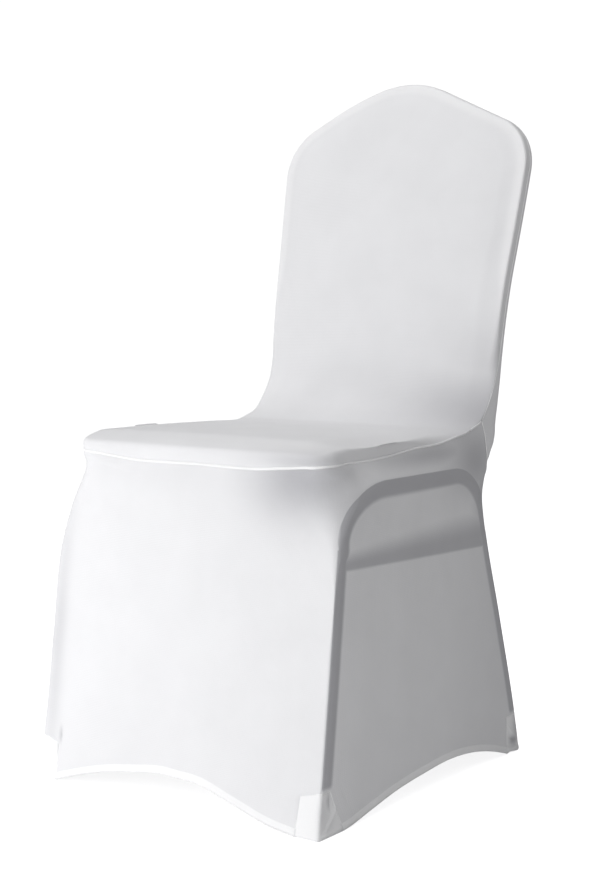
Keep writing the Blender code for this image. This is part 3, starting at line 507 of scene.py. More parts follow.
def back_y(z):
    """The front plane of the back, at a height."""
    return BACK_FOOT_Y + (z - BACK_FOOT_Z) * math.tan(RECLINE)


PATH = rounded_path(
    (
        (SEAT_FRONT_Y, SEAT_FRONT_Z, 0),
        (SEAT_BREAK_Y, SEAT_BREAK_Z, SEAT_BREAK_RADIUS),
        (back_y(SEAT_REAR_Z), SEAT_REAR_Z, LAP_RADIUS),
        (back_y(CROWN_LINE_Z), CROWN_LINE_Z, 0),
    )
)
PATH_END = path_length(PATH)


def back_reach(z):
    """How far along the side path the back stands at a height."""
    return PATH_END - (CROWN_LINE_Z - z) / math.cos(RECLINE)


def half_outline():
    """Left half of the flat outline, from the middle of the seat's front edge to the crown's tip."""
    shoulder = back_reach(SHOULDER_Z)
    path = rounded_path(
        (
            (0.0, 0.0, 0),
            (SEAT_HALF_WIDTH, 0.0, SEAT_CORNER_RADIUS),
            (NECK_HALF_WIDTH, back_reach(NECK_Z), NECK_RADIUS),
            (SHOULDER_HALF_WIDTH, shoulder, SHOULDER_RADIUS),
            (0.0, PATH_END, APEX_RADIUS),
            (-SHOULDER_HALF_WIDTH, shoulder, 0),
        )
    )
    tip = 1 + int(np.argmax(path[1:, 0] < SLACK))
    return path[: tip + 1]


OUTLINE = half_outline()
OUTLINE_END = path_length(OUTLINE)


def outline_frame(reach):
    """Point of the flat outline and its outward direction at each reach along it."""
    tangent = path_tangent(OUTLINE, reach)
    return along(OUTLINE, reach), np.stack([tangent[:, 1], -tangent[:, 0]], axis=-1)


def seam_drop(reach):
    """Depth of the seam below the edge, at a reach along the outline."""
    return table_value(SEAM_DROP_ROWS, SEAM_DROP_COLUMNS, "drop", reach)


def path_frame(reach):
    """Point of the side path, its direction and its upward normal at each reach, as y and z."""
    reach = np.clip(reach, 0, PATH_END)
    tangent = path_tangent(PATH, reach)
    return along(PATH, reach), tangent, np.stack([-tangent[..., 1], tangent[..., 0]], axis=-1)


def lift_point(flat, depth):
    """Flat points, half width and reach, laid on the side path and sunk by a depth."""
    place, _, normal = path_frame(flat[..., 1])
    sunk = place - normal * np.asarray(depth)[..., None]
    return np.concatenate([flat[..., :1], sunk], axis=-1)


def seam_points(reach):
    """The seam's own line in space, at reaches along the outline."""
    flat, _ = outline_frame(reach)
    return lift_point(flat, seam_drop(reach))


# The seam's stretches along the left half of the outline
FLAT_END = SEAT_HALF_WIDTH - SEAT_CORNER_RADIUS
ARC_END = FLAT_END + SEAT_CORNER_RADIUS * math.pi / 2


def junction_reach():
    """Reach along the outline at which the seam passes the height of the side junction."""
    reach = np.linspace(ARC_END, OUTLINE_END, FINE_STEPS)
    return float(np.interp(JUNCTION_Z, seam_points(reach)[:, 2], reach))


JUNCTION = junction_reach()


def shoulder_reach():
    """Reach along the outline of the middle of the shoulder's round."""
    reach = np.linspace(JUNCTION, OUTLINE_END, FINE_STEPS)
    corner = np.array([SHOULDER_HALF_WIDTH, back_reach(SHOULDER_Z)])
    away = np.linalg.norm(along(OUTLINE, reach) - corner, axis=1)
    return float(reach[np.argmin(away)])


SHOULDER = shoulder_reach()
BACK_REACHES = np.linspace(JUNCTION, SHOULDER, BACK_STEPS + 1)[1:]
CROWN_REACHES = np.linspace(SHOULDER, OUTLINE_END, HALF_SEAT_STEPS + 1)[1:]


def steps_between(*stops):
    """Even steps between each pair of stops, given as value, step count, value, and so on; no first value."""
    runs = zip(stops[::2], stops[1::2], stops[2::2])
    return np.concatenate([np.linspace(start, end, count + 1)[1:] for start, count, end in runs])


def skirt_columns():
    """Left half of the skirt's columns: kind, share of that stretch, and the seam's reach above."""
    front = np.append(0.0, steps_between(0.0, FRONT_STEPS, FRONT_RIM, FRONT_FOOT_STEPS, 1.0))
    corner = steps_between(0.0, CORNER_STEPS, 1.0)
    side = steps_between(0.0, SIDE_EDGE_STEPS, LOW_RIM, SIDE_STEPS, HIGH_RIM, SIDE_FOOT_STEPS, 1.0)
    rear = steps_between(0.0, REAR_STEPS, 1.0)
    turn_start, turn_end = JUNCTION - REAR_TURN, JUNCTION - SEAM_FLAT
    columns = [("front", share, FLAT_END * share) for share in front]
    columns += [("corner", share, FLAT_END + (ARC_END - FLAT_END) * share) for share in corner]
    columns += [("side", share, ARC_END + (turn_start - ARC_END) * share) for share in side]
    columns += [("rear", share, turn_start + (turn_end - turn_start) * share) for share in rear]
    columns.append(("seam", 1.0, JUNCTION))
    return columns


COLUMNS = skirt_columns()
SIDE_SEAM = seam_points(np.linspace(ARC_END, JUNCTION, FINE_STEPS))
REAR_SEAM_TOP = ((JUNCTION_Z, *seam_points(np.array([JUNCTION]))[0, :2], 0.0),)


def leg(name, z):
    """One measure of the legs, at a height."""
    return table_value(LEG_ROWS, LEG_COLUMNS, name, z)


def rear_line(name, z):
    """One measure of the outside back's rear line, at a height."""
    return table_value(REAR_LINE_ROWS, REAR_LINE_COLUMNS, name, z)


def rear_seam(z):
    """The rear seam at each height: its point and its direction from skirt to outside back."""
    rows = REAR_SEAM_ROWS + REAR_SEAM_TOP
    x = table_value(rows, REAR_SEAM_COLUMNS, "x", z)
    y = table_value(rows, REAR_SEAM_COLUMNS, "y", z)
    turn = np.radians(table_value(rows, REAR_SEAM_COLUMNS, "turn", z))
    return np.stack([x, y], axis=-1), np.stack([-np.sin(turn), np.cos(turn)], axis=-1)


def rail_height(y):
    """Height of the side tube's outer line under the skirt, over the side view."""
    front = np.clip((y - FRONT_BEND_Y) / FRONT_BEND_ACROSS, -1, 0)
    rear = np.clip((y - REAR_BEND_Y) / REAR_BEND_ACROSS, 0, 1)
    front_z = FRONT_BEND_Z + FRONT_BEND_UP * np.sqrt(1 - front**2)
    rear_z = REAR_BEND_Z + REAR_BEND_UP * np.sqrt(1 - rear**2)
    middle = np.clip((y - FRONT_BEND_Y) / (REAR_BEND_Y - FRONT_BEND_Y), 0, 1)
    return front_z + (rear_z - front_z) * middle


def leg_plane_x(y, z):
    """Half width of the flat side between front and rear leg."""
    low = np.minimum(z, STRAIGHT_LEG_TOP)
    share = (y - leg("front_y", low)) / (leg("rear_y", low) - leg("front_y", low))
    return leg("front_x", low) + share * (leg("rear_x", low) - leg("front_x", low))


def side_x(y, z):
    """Half width of the skirt's side: flat below the rail, and drawn in to the seam above it."""
    rail = rail_height(y)
    seam_x = np.interp(y, SIDE_SEAM[:, 1], SIDE_SEAM[:, 0])
    seam_z = np.interp(y, SIDE_SEAM[:, 1], SIDE_SEAM[:, 2])
    share = np.clip((z - rail) / (seam_z - rail), 0, 1)
    flat = leg_plane_x(y, np.minimum(z, rail))
    return flat + share * (seam_x - flat)


def bend(start, corner, end, share):
    """A bend from start to end, tangent to the lines through corner."""
    return (1 - share) ** 2 * start + 2 * share * (1 - share) * corner + share**2 * end


def skirt_section(kind, share, z):
    """Plan points of one skirt column at the heights z, on the left half."""
    front_x, front_y = leg("front_x", z), leg("front_y", z)
    round_x, round_y = leg("round_x", z), leg("round_y", z)
    seam, onward = rear_seam(z)
    turned = seam - onward * SEAM_FLAT
    side_start = front_y + round_y
    side_end = np.minimum(leg("rear_y", z), turned[..., 1]) - REAR_ROUND
    if kind == "front":
        bow = leg("front_bow", z) * (1 - share**2)
        return np.stack([share * (front_x - round_x), front_y - bow], axis=-1)
    if kind == "corner":
        start = np.stack([front_x - round_x, front_y], axis=-1)
        corner = np.stack([front_x, front_y], axis=-1)
        end = np.stack([side_x(side_start, z), side_start], axis=-1)
        return bend(start, corner, end, share)
    if kind == "side":
        y = side_start + share * (side_end - side_start)
        return np.stack([side_x(y, z), y], axis=-1)
    if kind == "rear":
        start = np.stack([side_x(side_end, z), side_end], axis=-1)
        corner = np.stack([leg("rear_x", z), leg("rear_y", z)], axis=-1)
        return bend(start, corner, turned, share)
    return seam


def low_share(kind, share, z):
    """Share of a skirt column below the pockets' rims, where the pockets' edges lean off the legs."""
    down = 1 - np.asarray(z) / POCKET_TOP
    if kind == "front" and share <= FRONT_RIM + SLACK:
        return share * (1 + (FRONT_FLOOR / FRONT_RIM - 1) * down)
    if kind == "side" and LOW_RIM - SLACK <= share <= HIGH_RIM + SLACK:
        low = LOW_RIM + (LOW_FLOOR - LOW_RIM) * down
        high = HIGH_RIM + (HIGH_FLOOR - HIGH_RIM) * down
        return low + (share - LOW_RIM) / (HIGH_RIM - LOW_RIM) * (high - low)
    return share + 0 * down


def mirrored(points):
    """The same points on the other side of the middle plane."""
    return points * np.array([-1.0, 1.0, 1.0])


def grid_faces(numbers, keep=None):
    """Quads of a grid of point numbers, each corner, the one below, the one below right, the one right."""
    quads = np.stack([numbers[:-1, :-1], numbers[1:, :-1], numbers[1:, 1:], numbers[:-1, 1:]], axis=-1)
    return quads.reshape(-1, 4) if keep is None else quads[keep]


def hem_height(kind, share, side):
    """Height of the hem under a skirt column; side is 1 on the cover's left and -1 on its right."""
    floor_share = low_share(kind, share, 0.0)
    if kind == "front":
        return float(table_value(FRONT_HEM_ROWS, HEM_COLUMNS, "z", side * floor_share))
    return float(table_value(SIDE_HEM_ROWS, HEM_COLUMNS, "z", floor_share))


def over_pocket(kind, share):
    """Whether a skirt column stands inside a foot pocket rather than at its edge or between two."""
    if kind == "front":
        return share > FRONT_RIM + SLACK
    if kind == "side":
        return share < LOW_RIM - SLACK or share > HIGH_RIM + SLACK
    return True


def panel_heights(top_z, hem_z, rim_z=POCKET_TOP):
    """Heights of a column's rows: crowded below the seam, one at the pockets' rims, the last at the hem."""
    down = np.linspace(0, 1, SIDE_ROWS + 1) ** ROW_CROWDING
    below = np.linspace(0, 1, HEM_ROWS + 1)[1:]
    return np.concatenate([top_z + (rim_z - top_z) * down, rim_z + (hem_z - rim_z) * below])


def rim_height(kind, share):
    """Height of the pockets' rims over a skirt column: on the front they slope down from the leg."""
    inland = np.clip((1 - share) / (1 - FRONT_RIM), 0, 1) if kind == "front" else 0.0
    return POCKET_TOP - RIM_FALL * inland


def held_to_seam(plan, z, top):
    """Plan points of a column, drawn near its top to the seam's own point."""
    hold = eased(1 - (z[0] - z) / SEAM_HOLD)[:, None]
    return plan + (top[:2] - plan[0]) * hold


def skirt_column(kind, share, reach, side):
    """All the points of one skirt column, from the seam to the hem, on the left half."""
    top = seam_points(np.array([reach]))[0]
    z = panel_heights(top[2] - SEAM_GAP / 2, hem_height(kind, share, side), rim_height(kind, share))
    plan = skirt_section(kind, share, z)
    for row in range(SIDE_ROWS + 1, len(z)):
        here = z[row : row + 1]
        plan[row] = skirt_section(kind, low_share(kind, share, here)[0], here)[0]
    if kind != "seam":
        plan = held_to_seam(plan, z, top)
    return np.column_stack([plan, z])


def soft_step(value, edge, softness):
    """0 below an edge and 1 above it, over a soft width."""
    return eased((value - edge) / softness + 0.5)


def path_distance(path, points):
    """Distance of each point to a path, both flat."""
    fine = along(path, np.arange(0, path_length(path), DISTANCE_STEP))
    tree = KDTree(len(fine))
    for number, place in enumerate(fine):
        tree.insert((*place, 0.0), number)
    tree.balance()
    return np.array([tree.find((*place, 0.0))[2] for place in points])


def tube_line():
    """Outer line of the bent side tube over the side view: up the front leg, over, and down the rear leg."""
    front_z = np.linspace(0, FRONT_BEND_Z, FINE_STEPS)
    rear_z = np.linspace(REAR_BEND_Z, 0, FINE_STEPS)
    front_end, rear_end = FRONT_BEND_Y - FRONT_BEND_ACROSS, REAR_BEND_Y + REAR_BEND_ACROSS
    middle, half = (front_end + rear_end) / 2, (rear_end - front_end) / 2
    over = middle - half * np.cos(np.linspace(0, math.pi, FINE_STEPS))
    return np.concatenate(
        [
            np.column_stack([leg("front_y", front_z), front_z]),
            np.column_stack([over, rail_height(over)]),
            np.column_stack([leg("rear_y", rear_z), rear_z]),
        ]
    )


def crease_lift(rows, across, z):
    """Lift of the cloth by the creases of a table, over flat places across and up."""
    place = np.stack([across, z], axis=-1)
    lift = np.zeros(len(place))
    for row in rows:
        crease = dict(zip(CREASE_COLUMNS, row))
        start = np.array([crease["across"], crease["z"]])
        run = np.array([crease["across_end"], crease["z_end"]]) - start
        share = np.clip((place - start) @ run / (run @ run), 0, 1)
        away = np.linalg.norm(place - start - share[:, None] * run, axis=-1)
        strength = CREASE_END_SHARE + (1 - CREASE_END_SHARE) * np.sin(math.pi * share)
        lift += crease["height"] * strength * np.exp(-((away / crease["half_width"]) ** 2))
    return lift


def puckers(reach, from_seam):
    """Small ripples that a sewn seam draws into the cloth beside it."""
    fade = eased(1 - from_seam / PUCKER_REACH)
    uneven = PUCKER_STEADY + PUCKER_SWING * np.sin(math.tau * reach / PUCKER_DRIFT)
    return PUCKER_LIFT * uneven * fade * np.sin(math.tau * reach / PUCKER_PITCH)


def slow_waves(across, fade):
    """Long shallow waves of unequal tension."""
    wide = np.sin(math.tau * across / WIDE_WAVE_PITCH)
    fine = np.sin(math.tau * across / FINE_WAVE_PITCH + FINE_WAVE_START)
    return WAVE_LIFT * fade * (WIDE_WAVE_SHARE * wide + FINE_WAVE_SHARE * fine)


def skirt_relief(points, normals, reach, seam, hem, under):
    """Lift of the skirt's cloth over the chair's tube, brace and pan, and in its own creases."""
    x, y, z = points.T
    side = side_share(normals)
    depth = tube_depth(points)
    above_feet = soft_step(z, POCKET_TOP + FOOT_FADE / 2, FOOT_FADE)
    lift = TUBE_LIFT * np.sin(math.pi * np.clip(depth / TUBE_WIDTH, 0, 1)) ** 2
    above, fade = brace_place(points)
    brace = soft_step(above, 0, BRACE_SOFT) * (1 - eased(above / fade))
    lift += BRACE_LIFT * brace * soft_step(depth, TUBE_WIDTH, TUBE_WIDTH)
    lift *= side * above_feet
    corner = eased((np.abs(x) - LIP_START_X) / (LIP_FULL_X - LIP_START_X))
    lip = 1 - soft_step(seam, LIP_DROP + (LIP_CORNER_DROP - LIP_DROP) * corner, LIP_SOFT)
    near_front = 1 - soft_step(y, SEAT_FRONT_Y + 2 * SEAT_CORNER_RADIUS, SEAT_CORNER_RADIUS)
    lip *= near_front * eased(seam / LIP_SOFT)
    lift += LIP_LIFT * (LIP_MIDDLE_SHARE + (1 - LIP_MIDDLE_SHARE) * corner) * lip
    lift += HEM_LIFT * (1 - soft_step(hem, scene_sizes().hem_width, HEM_SOFT))
    lift += puckers(reach, seam)
    lift += slow_waves(reach, eased(seam / WAVE_FADE) * eased(hem / WAVE_FADE))
    front = side < 0.5
    for panel, across, here in (
        ("front", x, front),
        ("left", y, (x > 0) & ~front),
        ("right", y, (x < 0) & ~front),
    ):
        lift[here] += crease_lift(rows_of(CREASE_ROWS, panel), across[here], z[here])
    return lift * (1 - under) - UNDERLAP * under


def brace_place(points):
    """How far each point of a side lies above the brace's lower edge, and over what height it fades."""
    back = np.clip((points[:, 1] - BRACE_FRONT_Y) / (BRACE_REAR_Y - BRACE_FRONT_Y), 0, 1)
    edge = BRACE_FRONT_Z + (BRACE_REAR_Z - BRACE_FRONT_Z) * back
    return points[:, 2] - edge, BRACE_FRONT_FADE + (BRACE_REAR_FADE - BRACE_FRONT_FADE) * back


def shown_through_and_shaded(piece, points):
    """How much of the chair shows softly through the knit at each point of a piece, from 0 to 1, with the
    painted shade of the same table.
    """
    shown = np.zeros(len(points))
    for row in rows_of(SHOW_AND_SHADE_ROWS, piece):
        place = dict(zip(SHOW_AND_SHADE_COLUMNS, row))
        away = (points - [place[axis] for axis in "xyz"]) / [place["half_" + axis] for axis in "xyz"]
        shown = np.maximum(shown, place["share"] * np.exp(-np.sum(away**2, axis=1)))
    return shown


def side_share(normals):
    """How far each point's cloth faces sideways, from 0 to 1."""
    return soft_step(np.abs(normals[:, 0]), SIDE_FACING, SIDE_FACING_SOFT)


def tube_depth(points):
    """How far inside the side tube's outer line each point lies, over the side view."""
    away = path_distance(TUBE_LINE, points[:, 1:])
    return np.where(points[:, 2] < rail_height(points[:, 1]), away, -away)


TUBE_LINE = tube_line()


class CoverSizes(bpy.types.PropertyGroup):
    """Sizes that a maker of the cover would change."""

    cloth: bpy.props.FloatProperty(
        name="Cloth thickness", description="Thickness of the knit", default=0.0016, min=0.0005, unit="LENGTH"
    )
    hem_width: bpy.props.FloatProperty(
        name="Hem width", description="Height of the turned hem", default=0.009, unit="LENGTH"
    )
    front_seam: bpy.props.FloatProperty(
        name="Front seam", description="Width of the overlocked seam in front", default=0.0042, unit="LENGTH"
    )
    side_seam: bpy.props.FloatProperty(
        name="Side seam", description="Width of that seam along the sides", default=0.0030, unit="LENGTH"
    )
    edge_seam: bpy.props.FloatProperty(
        name="Edge seam", description="Width of the seams up back and legs", default=0.0022, unit="LENGTH"
    )
    pocket_seam: bpy.props.FloatProperty(
        name="Pocket seam", description="Width of the foot pockets' seams", default=0.0014, unit="LENGTH"
    )
    stitch: bpy.props.FloatProperty(
        name="Stitch length", description="Length of one overlock stitch", default=0.0030, unit="LENGTH"
    )


def linear(code):
    """An sRGB hex colour as the linear red, green, blue and alpha that a shader takes."""
    parts = [int(code[i : i + 2], 16) / 255 for i in (1, 3, 5)]
    return (*((part + 0.055) ** 2.4 / 1.055**2.4 if part > 0.04045 else part / 12.92 for part in parts), 1.0)


class CoverColours(bpy.types.PropertyGroup):
    """Colours that a user of the cover would change."""

    knit: bpy.props.FloatVectorProperty(
        name="Knit", description="One layer of the knit", subtype="COLOR", size=4, default=linear("#EDEDEF")
    )
    doubled: bpy.props.FloatVectorProperty(
        name="Doubled knit",
        description="Hems, seams and pockets",
        subtype="COLOR",
        size=4,
        default=linear("#FCFCFD"),
    )
    # The grey of knit over the dark frame, which also colours the painted shade under the seat, in the lap
    # and along the skirt's sides, and the brace's painted shadow
    over_frame_and_shade: bpy.props.FloatVectorProperty(
        name="Knit over the frame",
        description="Where the chair's dark frame shows through the knit",
        subtype="COLOR",
        size=4,
        default=linear("#BBBBBF"),
    )


class CoverStudio(bpy.types.PropertyGroup):
    """The studio around the cover."""

    key: bpy.props.FloatProperty(
        name="Lamps", description="Strength of all lamps", default=1.0, min=0.0, subtype="FACTOR"
    )
    floor: bpy.props.FloatProperty(
        name="Floor", description="Half width of the floor", default=40.0, unit="LENGTH"
    )


def scene_sizes():
    """The sizes that a user may change."""
    return bpy.context.scene.cover_sizes


def scene_colours():
    """The colours that a user may change."""
    return bpy.context.scene.cover_colours


def add_node(tree, kind, inputs=None, output=0, **settings):
    """Add a shader node with its settings, fill or link its inputs, and give back one of its outputs.

    Inputs go by name or by number. A colour mix takes its share, first and second colour as 0, 6 and 7, and
    gives the mixed one as 2.
    """
    node = tree.nodes.new(kind)
    for name, value in settings.items():
        setattr(node, name, value)
    for name, value in (inputs or {}).items():
        if isinstance(value, bpy.types.NodeSocket):
            tree.links.new(value, node.inputs[name])
        else:
            node.inputs[name].default_value = value
    return node.outputs[output] if node.outputs else node


def new_material(name):
    """An empty node material, and what adds a node to it."""
    material = bpy.data.materials.get(name)
    if material:
        bpy.data.materials.remove(material)
    material = bpy.data.materials.new(name)
    material.use_nodes = True
    material.node_tree.nodes.clear()
    return material, partial(add_node, material.node_tree)


def frame_print_and_shade(add, height):
    """How much the skirt's side is greyed over the chair's frame, from 0 to 1: along the tube the dark frame
    seen through the knit, partly painted shade, and along the brace a painted shadow of it behind the cloth.
    """
    tube, side, above, fade = (
        add("ShaderNodeAttribute", output="Fac", attribute_name=kept)
        for kept in ("tube", "side", "brace", "brace_fade")
    )
    risen = add("ShaderNodeMath", {0: above, 1: fade}, operation="DIVIDE")
    outer, inner, lower, upper, clear = (
        add(
            "ShaderNodeMapRange",
            {"Value": value, "From Min": low, "From Max": high},
            interpolation_type="SMOOTHSTEP",
        )
        for value, low, high in (
            (tube, -TUBE_OUTER_SOFT / 2, TUBE_OUTER_SOFT / 2),
            (tube, TUBE_WIDTH + TUBE_INNER_SOFT / 2, TUBE_WIDTH - TUBE_INNER_SOFT / 2),
            (above, -BRACE_SOFT / 2, BRACE_SOFT / 2),
            (risen, 1.0, BRACE_FULL_SHARE),
            (height, POCKET_TOP, POCKET_TOP + FOOT_FADE),
        )
    )
    band = add("ShaderNodeMath", {0: outer, 1: inner}, operation="MULTIPLY")
    brace = lower
    for part in (upper, outer, BRACE_SHADE):
        brace = add("ShaderNodeMath", {0: brace, 1: part}, operation="MULTIPLY")
    shown = add("ShaderNodeMath", {0: band, 1: brace}, operation="MAXIMUM")
    for part in (side, clear):
        shown = add("ShaderNodeMath", {0: shown, 1: part}, operation="MULTIPLY")
    return shown


def stretch_knit(name, doubled=False, over_frame_and_shade=False):
    """White polyester and spandex warp knit, heat-set and stretched tight.

    It gives a matt white with a faint bloom at grazing angles, fine ribs that only show close up, and a
    tone that drifts a little with the stretch. Where the chair's dark frame presses on it, it is greyer, and
    it has painted shade under the seat, in the lap and along the skirt's sides, and a painted shadow of the
    brace.
    """
    material, add = new_material(name)
    colours, hem_width = scene_colours(), scene_sizes().hem_width
    cloth = add("ShaderNodeUVMap", output="UV", uv_map="cloth")
    place = add("ShaderNodeTexCoord", output="Object")
    hem, shown = (
        add("ShaderNodeAttribute", output="Fac", attribute_name=kept) for kept in ("hem", "shown")
    )
    colour = tuple(colours.doubled)
    if not doubled:
        turned = {"Value": hem, "From Min": hem_width + HEM_SOFT, "From Max": hem_width}
        share = add("ShaderNodeMapRange", turned, interpolation_type="SMOOTHSTEP")
        colour = add("ShaderNodeMix", {0: share, 6: tuple(colours.knit), 7: colour}, 2, data_type="RGBA")
    # On the skirt: the frame seen through the knit, partly painted shade, and the brace's painted shadow
    if over_frame_and_shade:
        height = add("ShaderNodeSeparateXYZ", {0: cloth}, "Y")
        shown = add("ShaderNodeMath", {0: shown, 1: frame_print_and_shade(add, height)}, operation="MAXIMUM")
    # Grey where the chair shows through and where shade is painted
    colour = add("ShaderNodeMix", {0: shown, 6: colour, 7: tuple(colours.over_frame_and_shade)}, 2, data_type="RGBA")
    ribs, rows = (
        add(
            "ShaderNodeTexWave",
            {"Vector": cloth, "Scale": WAVE_SCALE / pitch, "Distortion": unevenness, "Detail": 1.0},
            "Fac",
            bands_direction=direction,
        )
        for pitch, unevenness, direction in (
            (RIB_PITCH, RIB_UNEVENNESS, "X"),
            (ROW_PITCH, ROW_UNEVENNESS, "Y"),
        )
    )
    weave = add("ShaderNodeMath", {0: ribs, 1: rows}, operation="MULTIPLY")
    fibres = {"Vector": place, "Scale": 1 / FIBRE_SIZE, "Detail": 3.0, "Roughness": 0.6}
    fibre = add("ShaderNodeTexNoise", fibres, "Fac")
    drift = add("ShaderNodeTexNoise", {"Vector": place, "Scale": 1 / DRIFT_SIZE, "Detail": 2.0}, "Fac")
    drifting = {"Value": drift, "From Min": DRIFT_LOW, "From Max": DRIFT_HIGH, "To Min": DRIFT_SHADE}
    shade = add("ShaderNodeMapRange", drifting)
    fleck = add("ShaderNodeMapRange", {"Value": weave, "To Min": WEAVE_SHADE})
    shade = add("ShaderNodeMath", {0: shade, 1: fleck}, operation="MULTIPLY")
    toned = add("ShaderNodeVectorMath", {0: colour, "Scale": shade}, operation="SCALE")
    before, after = (
        add(
            "ShaderNodeMapRange",
            {"Value": hem, "From Min": low, "From Max": high},
            interpolation_type="SMOOTHSTEP",
        )
        for low, high in (
            (hem_width - STITCH_LINE_WIDTH, hem_width),
            (hem_width + 2 * STITCH_LINE_WIDTH, hem_width + STITCH_LINE_WIDTH),
        )
    )
    stitch_line = add("ShaderNodeMath", {0: before, 1: after}, operation="MULTIPLY")
    relief = weave
    for part, share in ((fibre, FIBRE_SHARE), (stitch_line, -STITCH_LINE_SHARE)):
        relief = add("ShaderNodeMath", {0: part, 1: share, 2: relief}, operation="MULTIPLY_ADD")
    rough = {"Value": fibre, "To Min": KNIT_SMOOTHEST, "To Max": KNIT_ROUGHEST}
    finish = {
        "Base Color": toned,
        "Roughness": add("ShaderNodeMapRange", rough),
        "IOR": 1.5,
        "Specular IOR Level": 0.35,
        "Sheen Weight": 0.12,
        "Sheen Roughness": 0.5,
        "Normal": add("ShaderNodeBump", {"Height": relief, "Strength": 0.35, "Distance": KNIT_RELIEF}),
    }
    add("ShaderNodeOutputMaterial", {"Surface": add("ShaderNodeBsdfPrincipled", finish)})
    return material


def overlock_thread():
    """White textured polyester thread, overlocked in close slanting loops over the turned seam edge.

    It gives a slightly brighter, ribbed line than the knit beside it.
    """
    material, add = new_material("overlocked_polyester_thread")
    along_seam = add("ShaderNodeUVMap", output="UV", uv_map="cloth")
    slant = {"Vector": along_seam, "Scale": WAVE_SCALE / THREAD_PITCH, "Distortion": 0.4}
    loops = add("ShaderNodeTexWave", slant, "Fac", bands_direction="DIAGONAL")
    white = tuple(scene_colours().doubled)
    grey = tuple(THREAD_SHADE * part for part in white[:3]) + (1.0,)
    finish = {
        "Base Color": add("ShaderNodeMix", {0: loops, 6: grey, 7: white}, 2, data_type="RGBA"),
        "Roughness": 0.6,
        "Sheen Weight": 0.1,
        "Normal": add("ShaderNodeBump", {"Height": loops, "Strength": 0.5, "Distance": THREAD_RELIEF}),
    }
    add("ShaderNodeOutputMaterial", {"Surface": add("ShaderNodeBsdfPrincipled", finish)})
    return material


def mesh_points(mesh):
    """Places and outward normals of a mesh's points."""
    places = np.empty(len(mesh.vertices) * 3)
    normals = np.empty(len(mesh.vertices) * 3)
    mesh.vertices.foreach_get("co", places)
    mesh.vertex_normals.foreach_get("vector", normals)
    return places.reshape(-1, 3), normals.reshape(-1, 3)


def cloth_mesh(name, points, faces, values):
    """A mesh of the points that its faces use, and the values of those points."""
    used, numbers = np.unique(np.asarray(faces), return_inverse=True)
    mesh = bpy.data.meshes.new(name)
    mesh.from_pydata(points[used].tolist(), [], numbers.reshape(-1, 4).tolist())
    mesh.update()
    return mesh, {key: np.asarray(value)[used] for key, value in values.items()}


def map_cloth(mesh, flat):
    """Lay flat coordinates of the cloth, in metres, as its UV map."""
    corners = np.empty(len(mesh.loops), np.int32)
    mesh.loops.foreach_get("vertex_index", corners)
    layer = mesh.uv_layers.new(name="cloth")
    layer.data.foreach_set("uv", flat[corners].astype(np.float32).ravel())


def move_points(mesh, shift):
    """Move each point of a mesh."""
    places, _ = mesh_points(mesh)
    mesh.vertices.foreach_set("co", (places + shift).ravel())
    mesh.update()


def raise_cloth(mesh, lift):
    """Raise a mesh's points along their normals."""
    _, normals = mesh_points(mesh)
    move_points(mesh, normals * lift[:, None])


def uneven_pull(points):
    """How far the back's uneven pull moves points: its crown's right slope up, and its left edge sideways."""
    x, _, z = points.T
    up = eased((z - CROWN_RISE_START) / (CROWN_RISE_FULL - CROWN_RISE_START))
    rise = CROWN_RISE * up * np.exp(-(((x - CROWN_RISE_X) / CROWN_RISE_WIDTH) ** 2))
    draw = table_value(DRAW_ROWS, DRAW_COLUMNS, "draw", z) * np.clip(x / NECK_HALF_WIDTH, 0, 1)
    return np.column_stack([draw, np.zeros(len(points)), rise])


def pull_back(mesh):
    """Move a mesh's points by the back's uneven pull."""
    places, _ = mesh_points(mesh)
    move_points(mesh, uneven_pull(places))


def keep_values(mesh, **values):
    """Keep numbers of each point for the material."""
    for name, value in values.items():
        kept = mesh.attributes.new(name, "FLOAT", "POINT")
        kept.data.foreach_set("value", np.asarray(value, np.float32))


def place_piece(name, mesh, material):
    """Put a mesh in its place in the frame, riding on it and taking a node's finish."""
    mesh.shade_smooth()
    mesh.materials.append(material)
    piece = bpy.data.objects.new(name, mesh)
    bpy.context.scene.collection.objects.link(piece)
    piece.location.y = -MIDDLE_Y
    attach(piece, "root")
    return piece


def place_cloth(mesh, material, node):
    piece = place_piece(node + "_cloth", mesh, material)
    thick = piece.modifiers.new("cloth_thickness", "SOLIDIFY")
    thick.thickness = scene_sizes().cloth
    thick.offset = -1.0
    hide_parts(node)
    return piece


def seam_ridge(path, outward, widths):
    """Points, faces and flat places of a sewn ridge: an oval cord, half sunk in the cloth, with stitches."""
    length = path_length(path)
    reach = np.linspace(0, length, int(length / SEAM_STEP) + 2)
    knots = path_reaches(path)
    middle, facing = (
        np.stack([np.interp(reach, knots, part[:, i]) for i in range(3)], axis=-1) for part in (path, outward)
    )
    width = np.interp(reach, knots, widths)
    tangent = unit(np.gradient(middle, axis=0))
    facing = unit(facing - tangent * np.sum(facing * tangent, axis=1, keepdims=True))
    across = np.cross(tangent, facing)
    swell = 1 - STITCH_SWELL * (0.5 + 0.5 * np.cos(math.tau * reach / scene_sizes().stitch))
    size = width * swell * eased(np.minimum(reach, length - reach) / width + SEAM_BLUNTNESS)
    turn = np.arange(SEAM_SIDES) * math.tau / SEAM_SIDES
    wide = size[:, None] / 2 * np.cos(turn)
    tall = size[:, None] * SEAM_HEIGHT * np.sin(turn)
    points = middle[:, None] + across[:, None] * wide[..., None] + facing[:, None] * tall[..., None]
    numbers = np.arange(points.shape[0] * SEAM_SIDES).reshape(-1, SEAM_SIDES)
    faces = grid_faces(np.concatenate([numbers, numbers[:, :1]], axis=1))
    flat = np.stack(np.broadcast_arrays(reach[:, None], width[:, None] * turn / 2), axis=-1)
    return points.reshape(-1, 3), faces, flat.reshape(-1, 2)


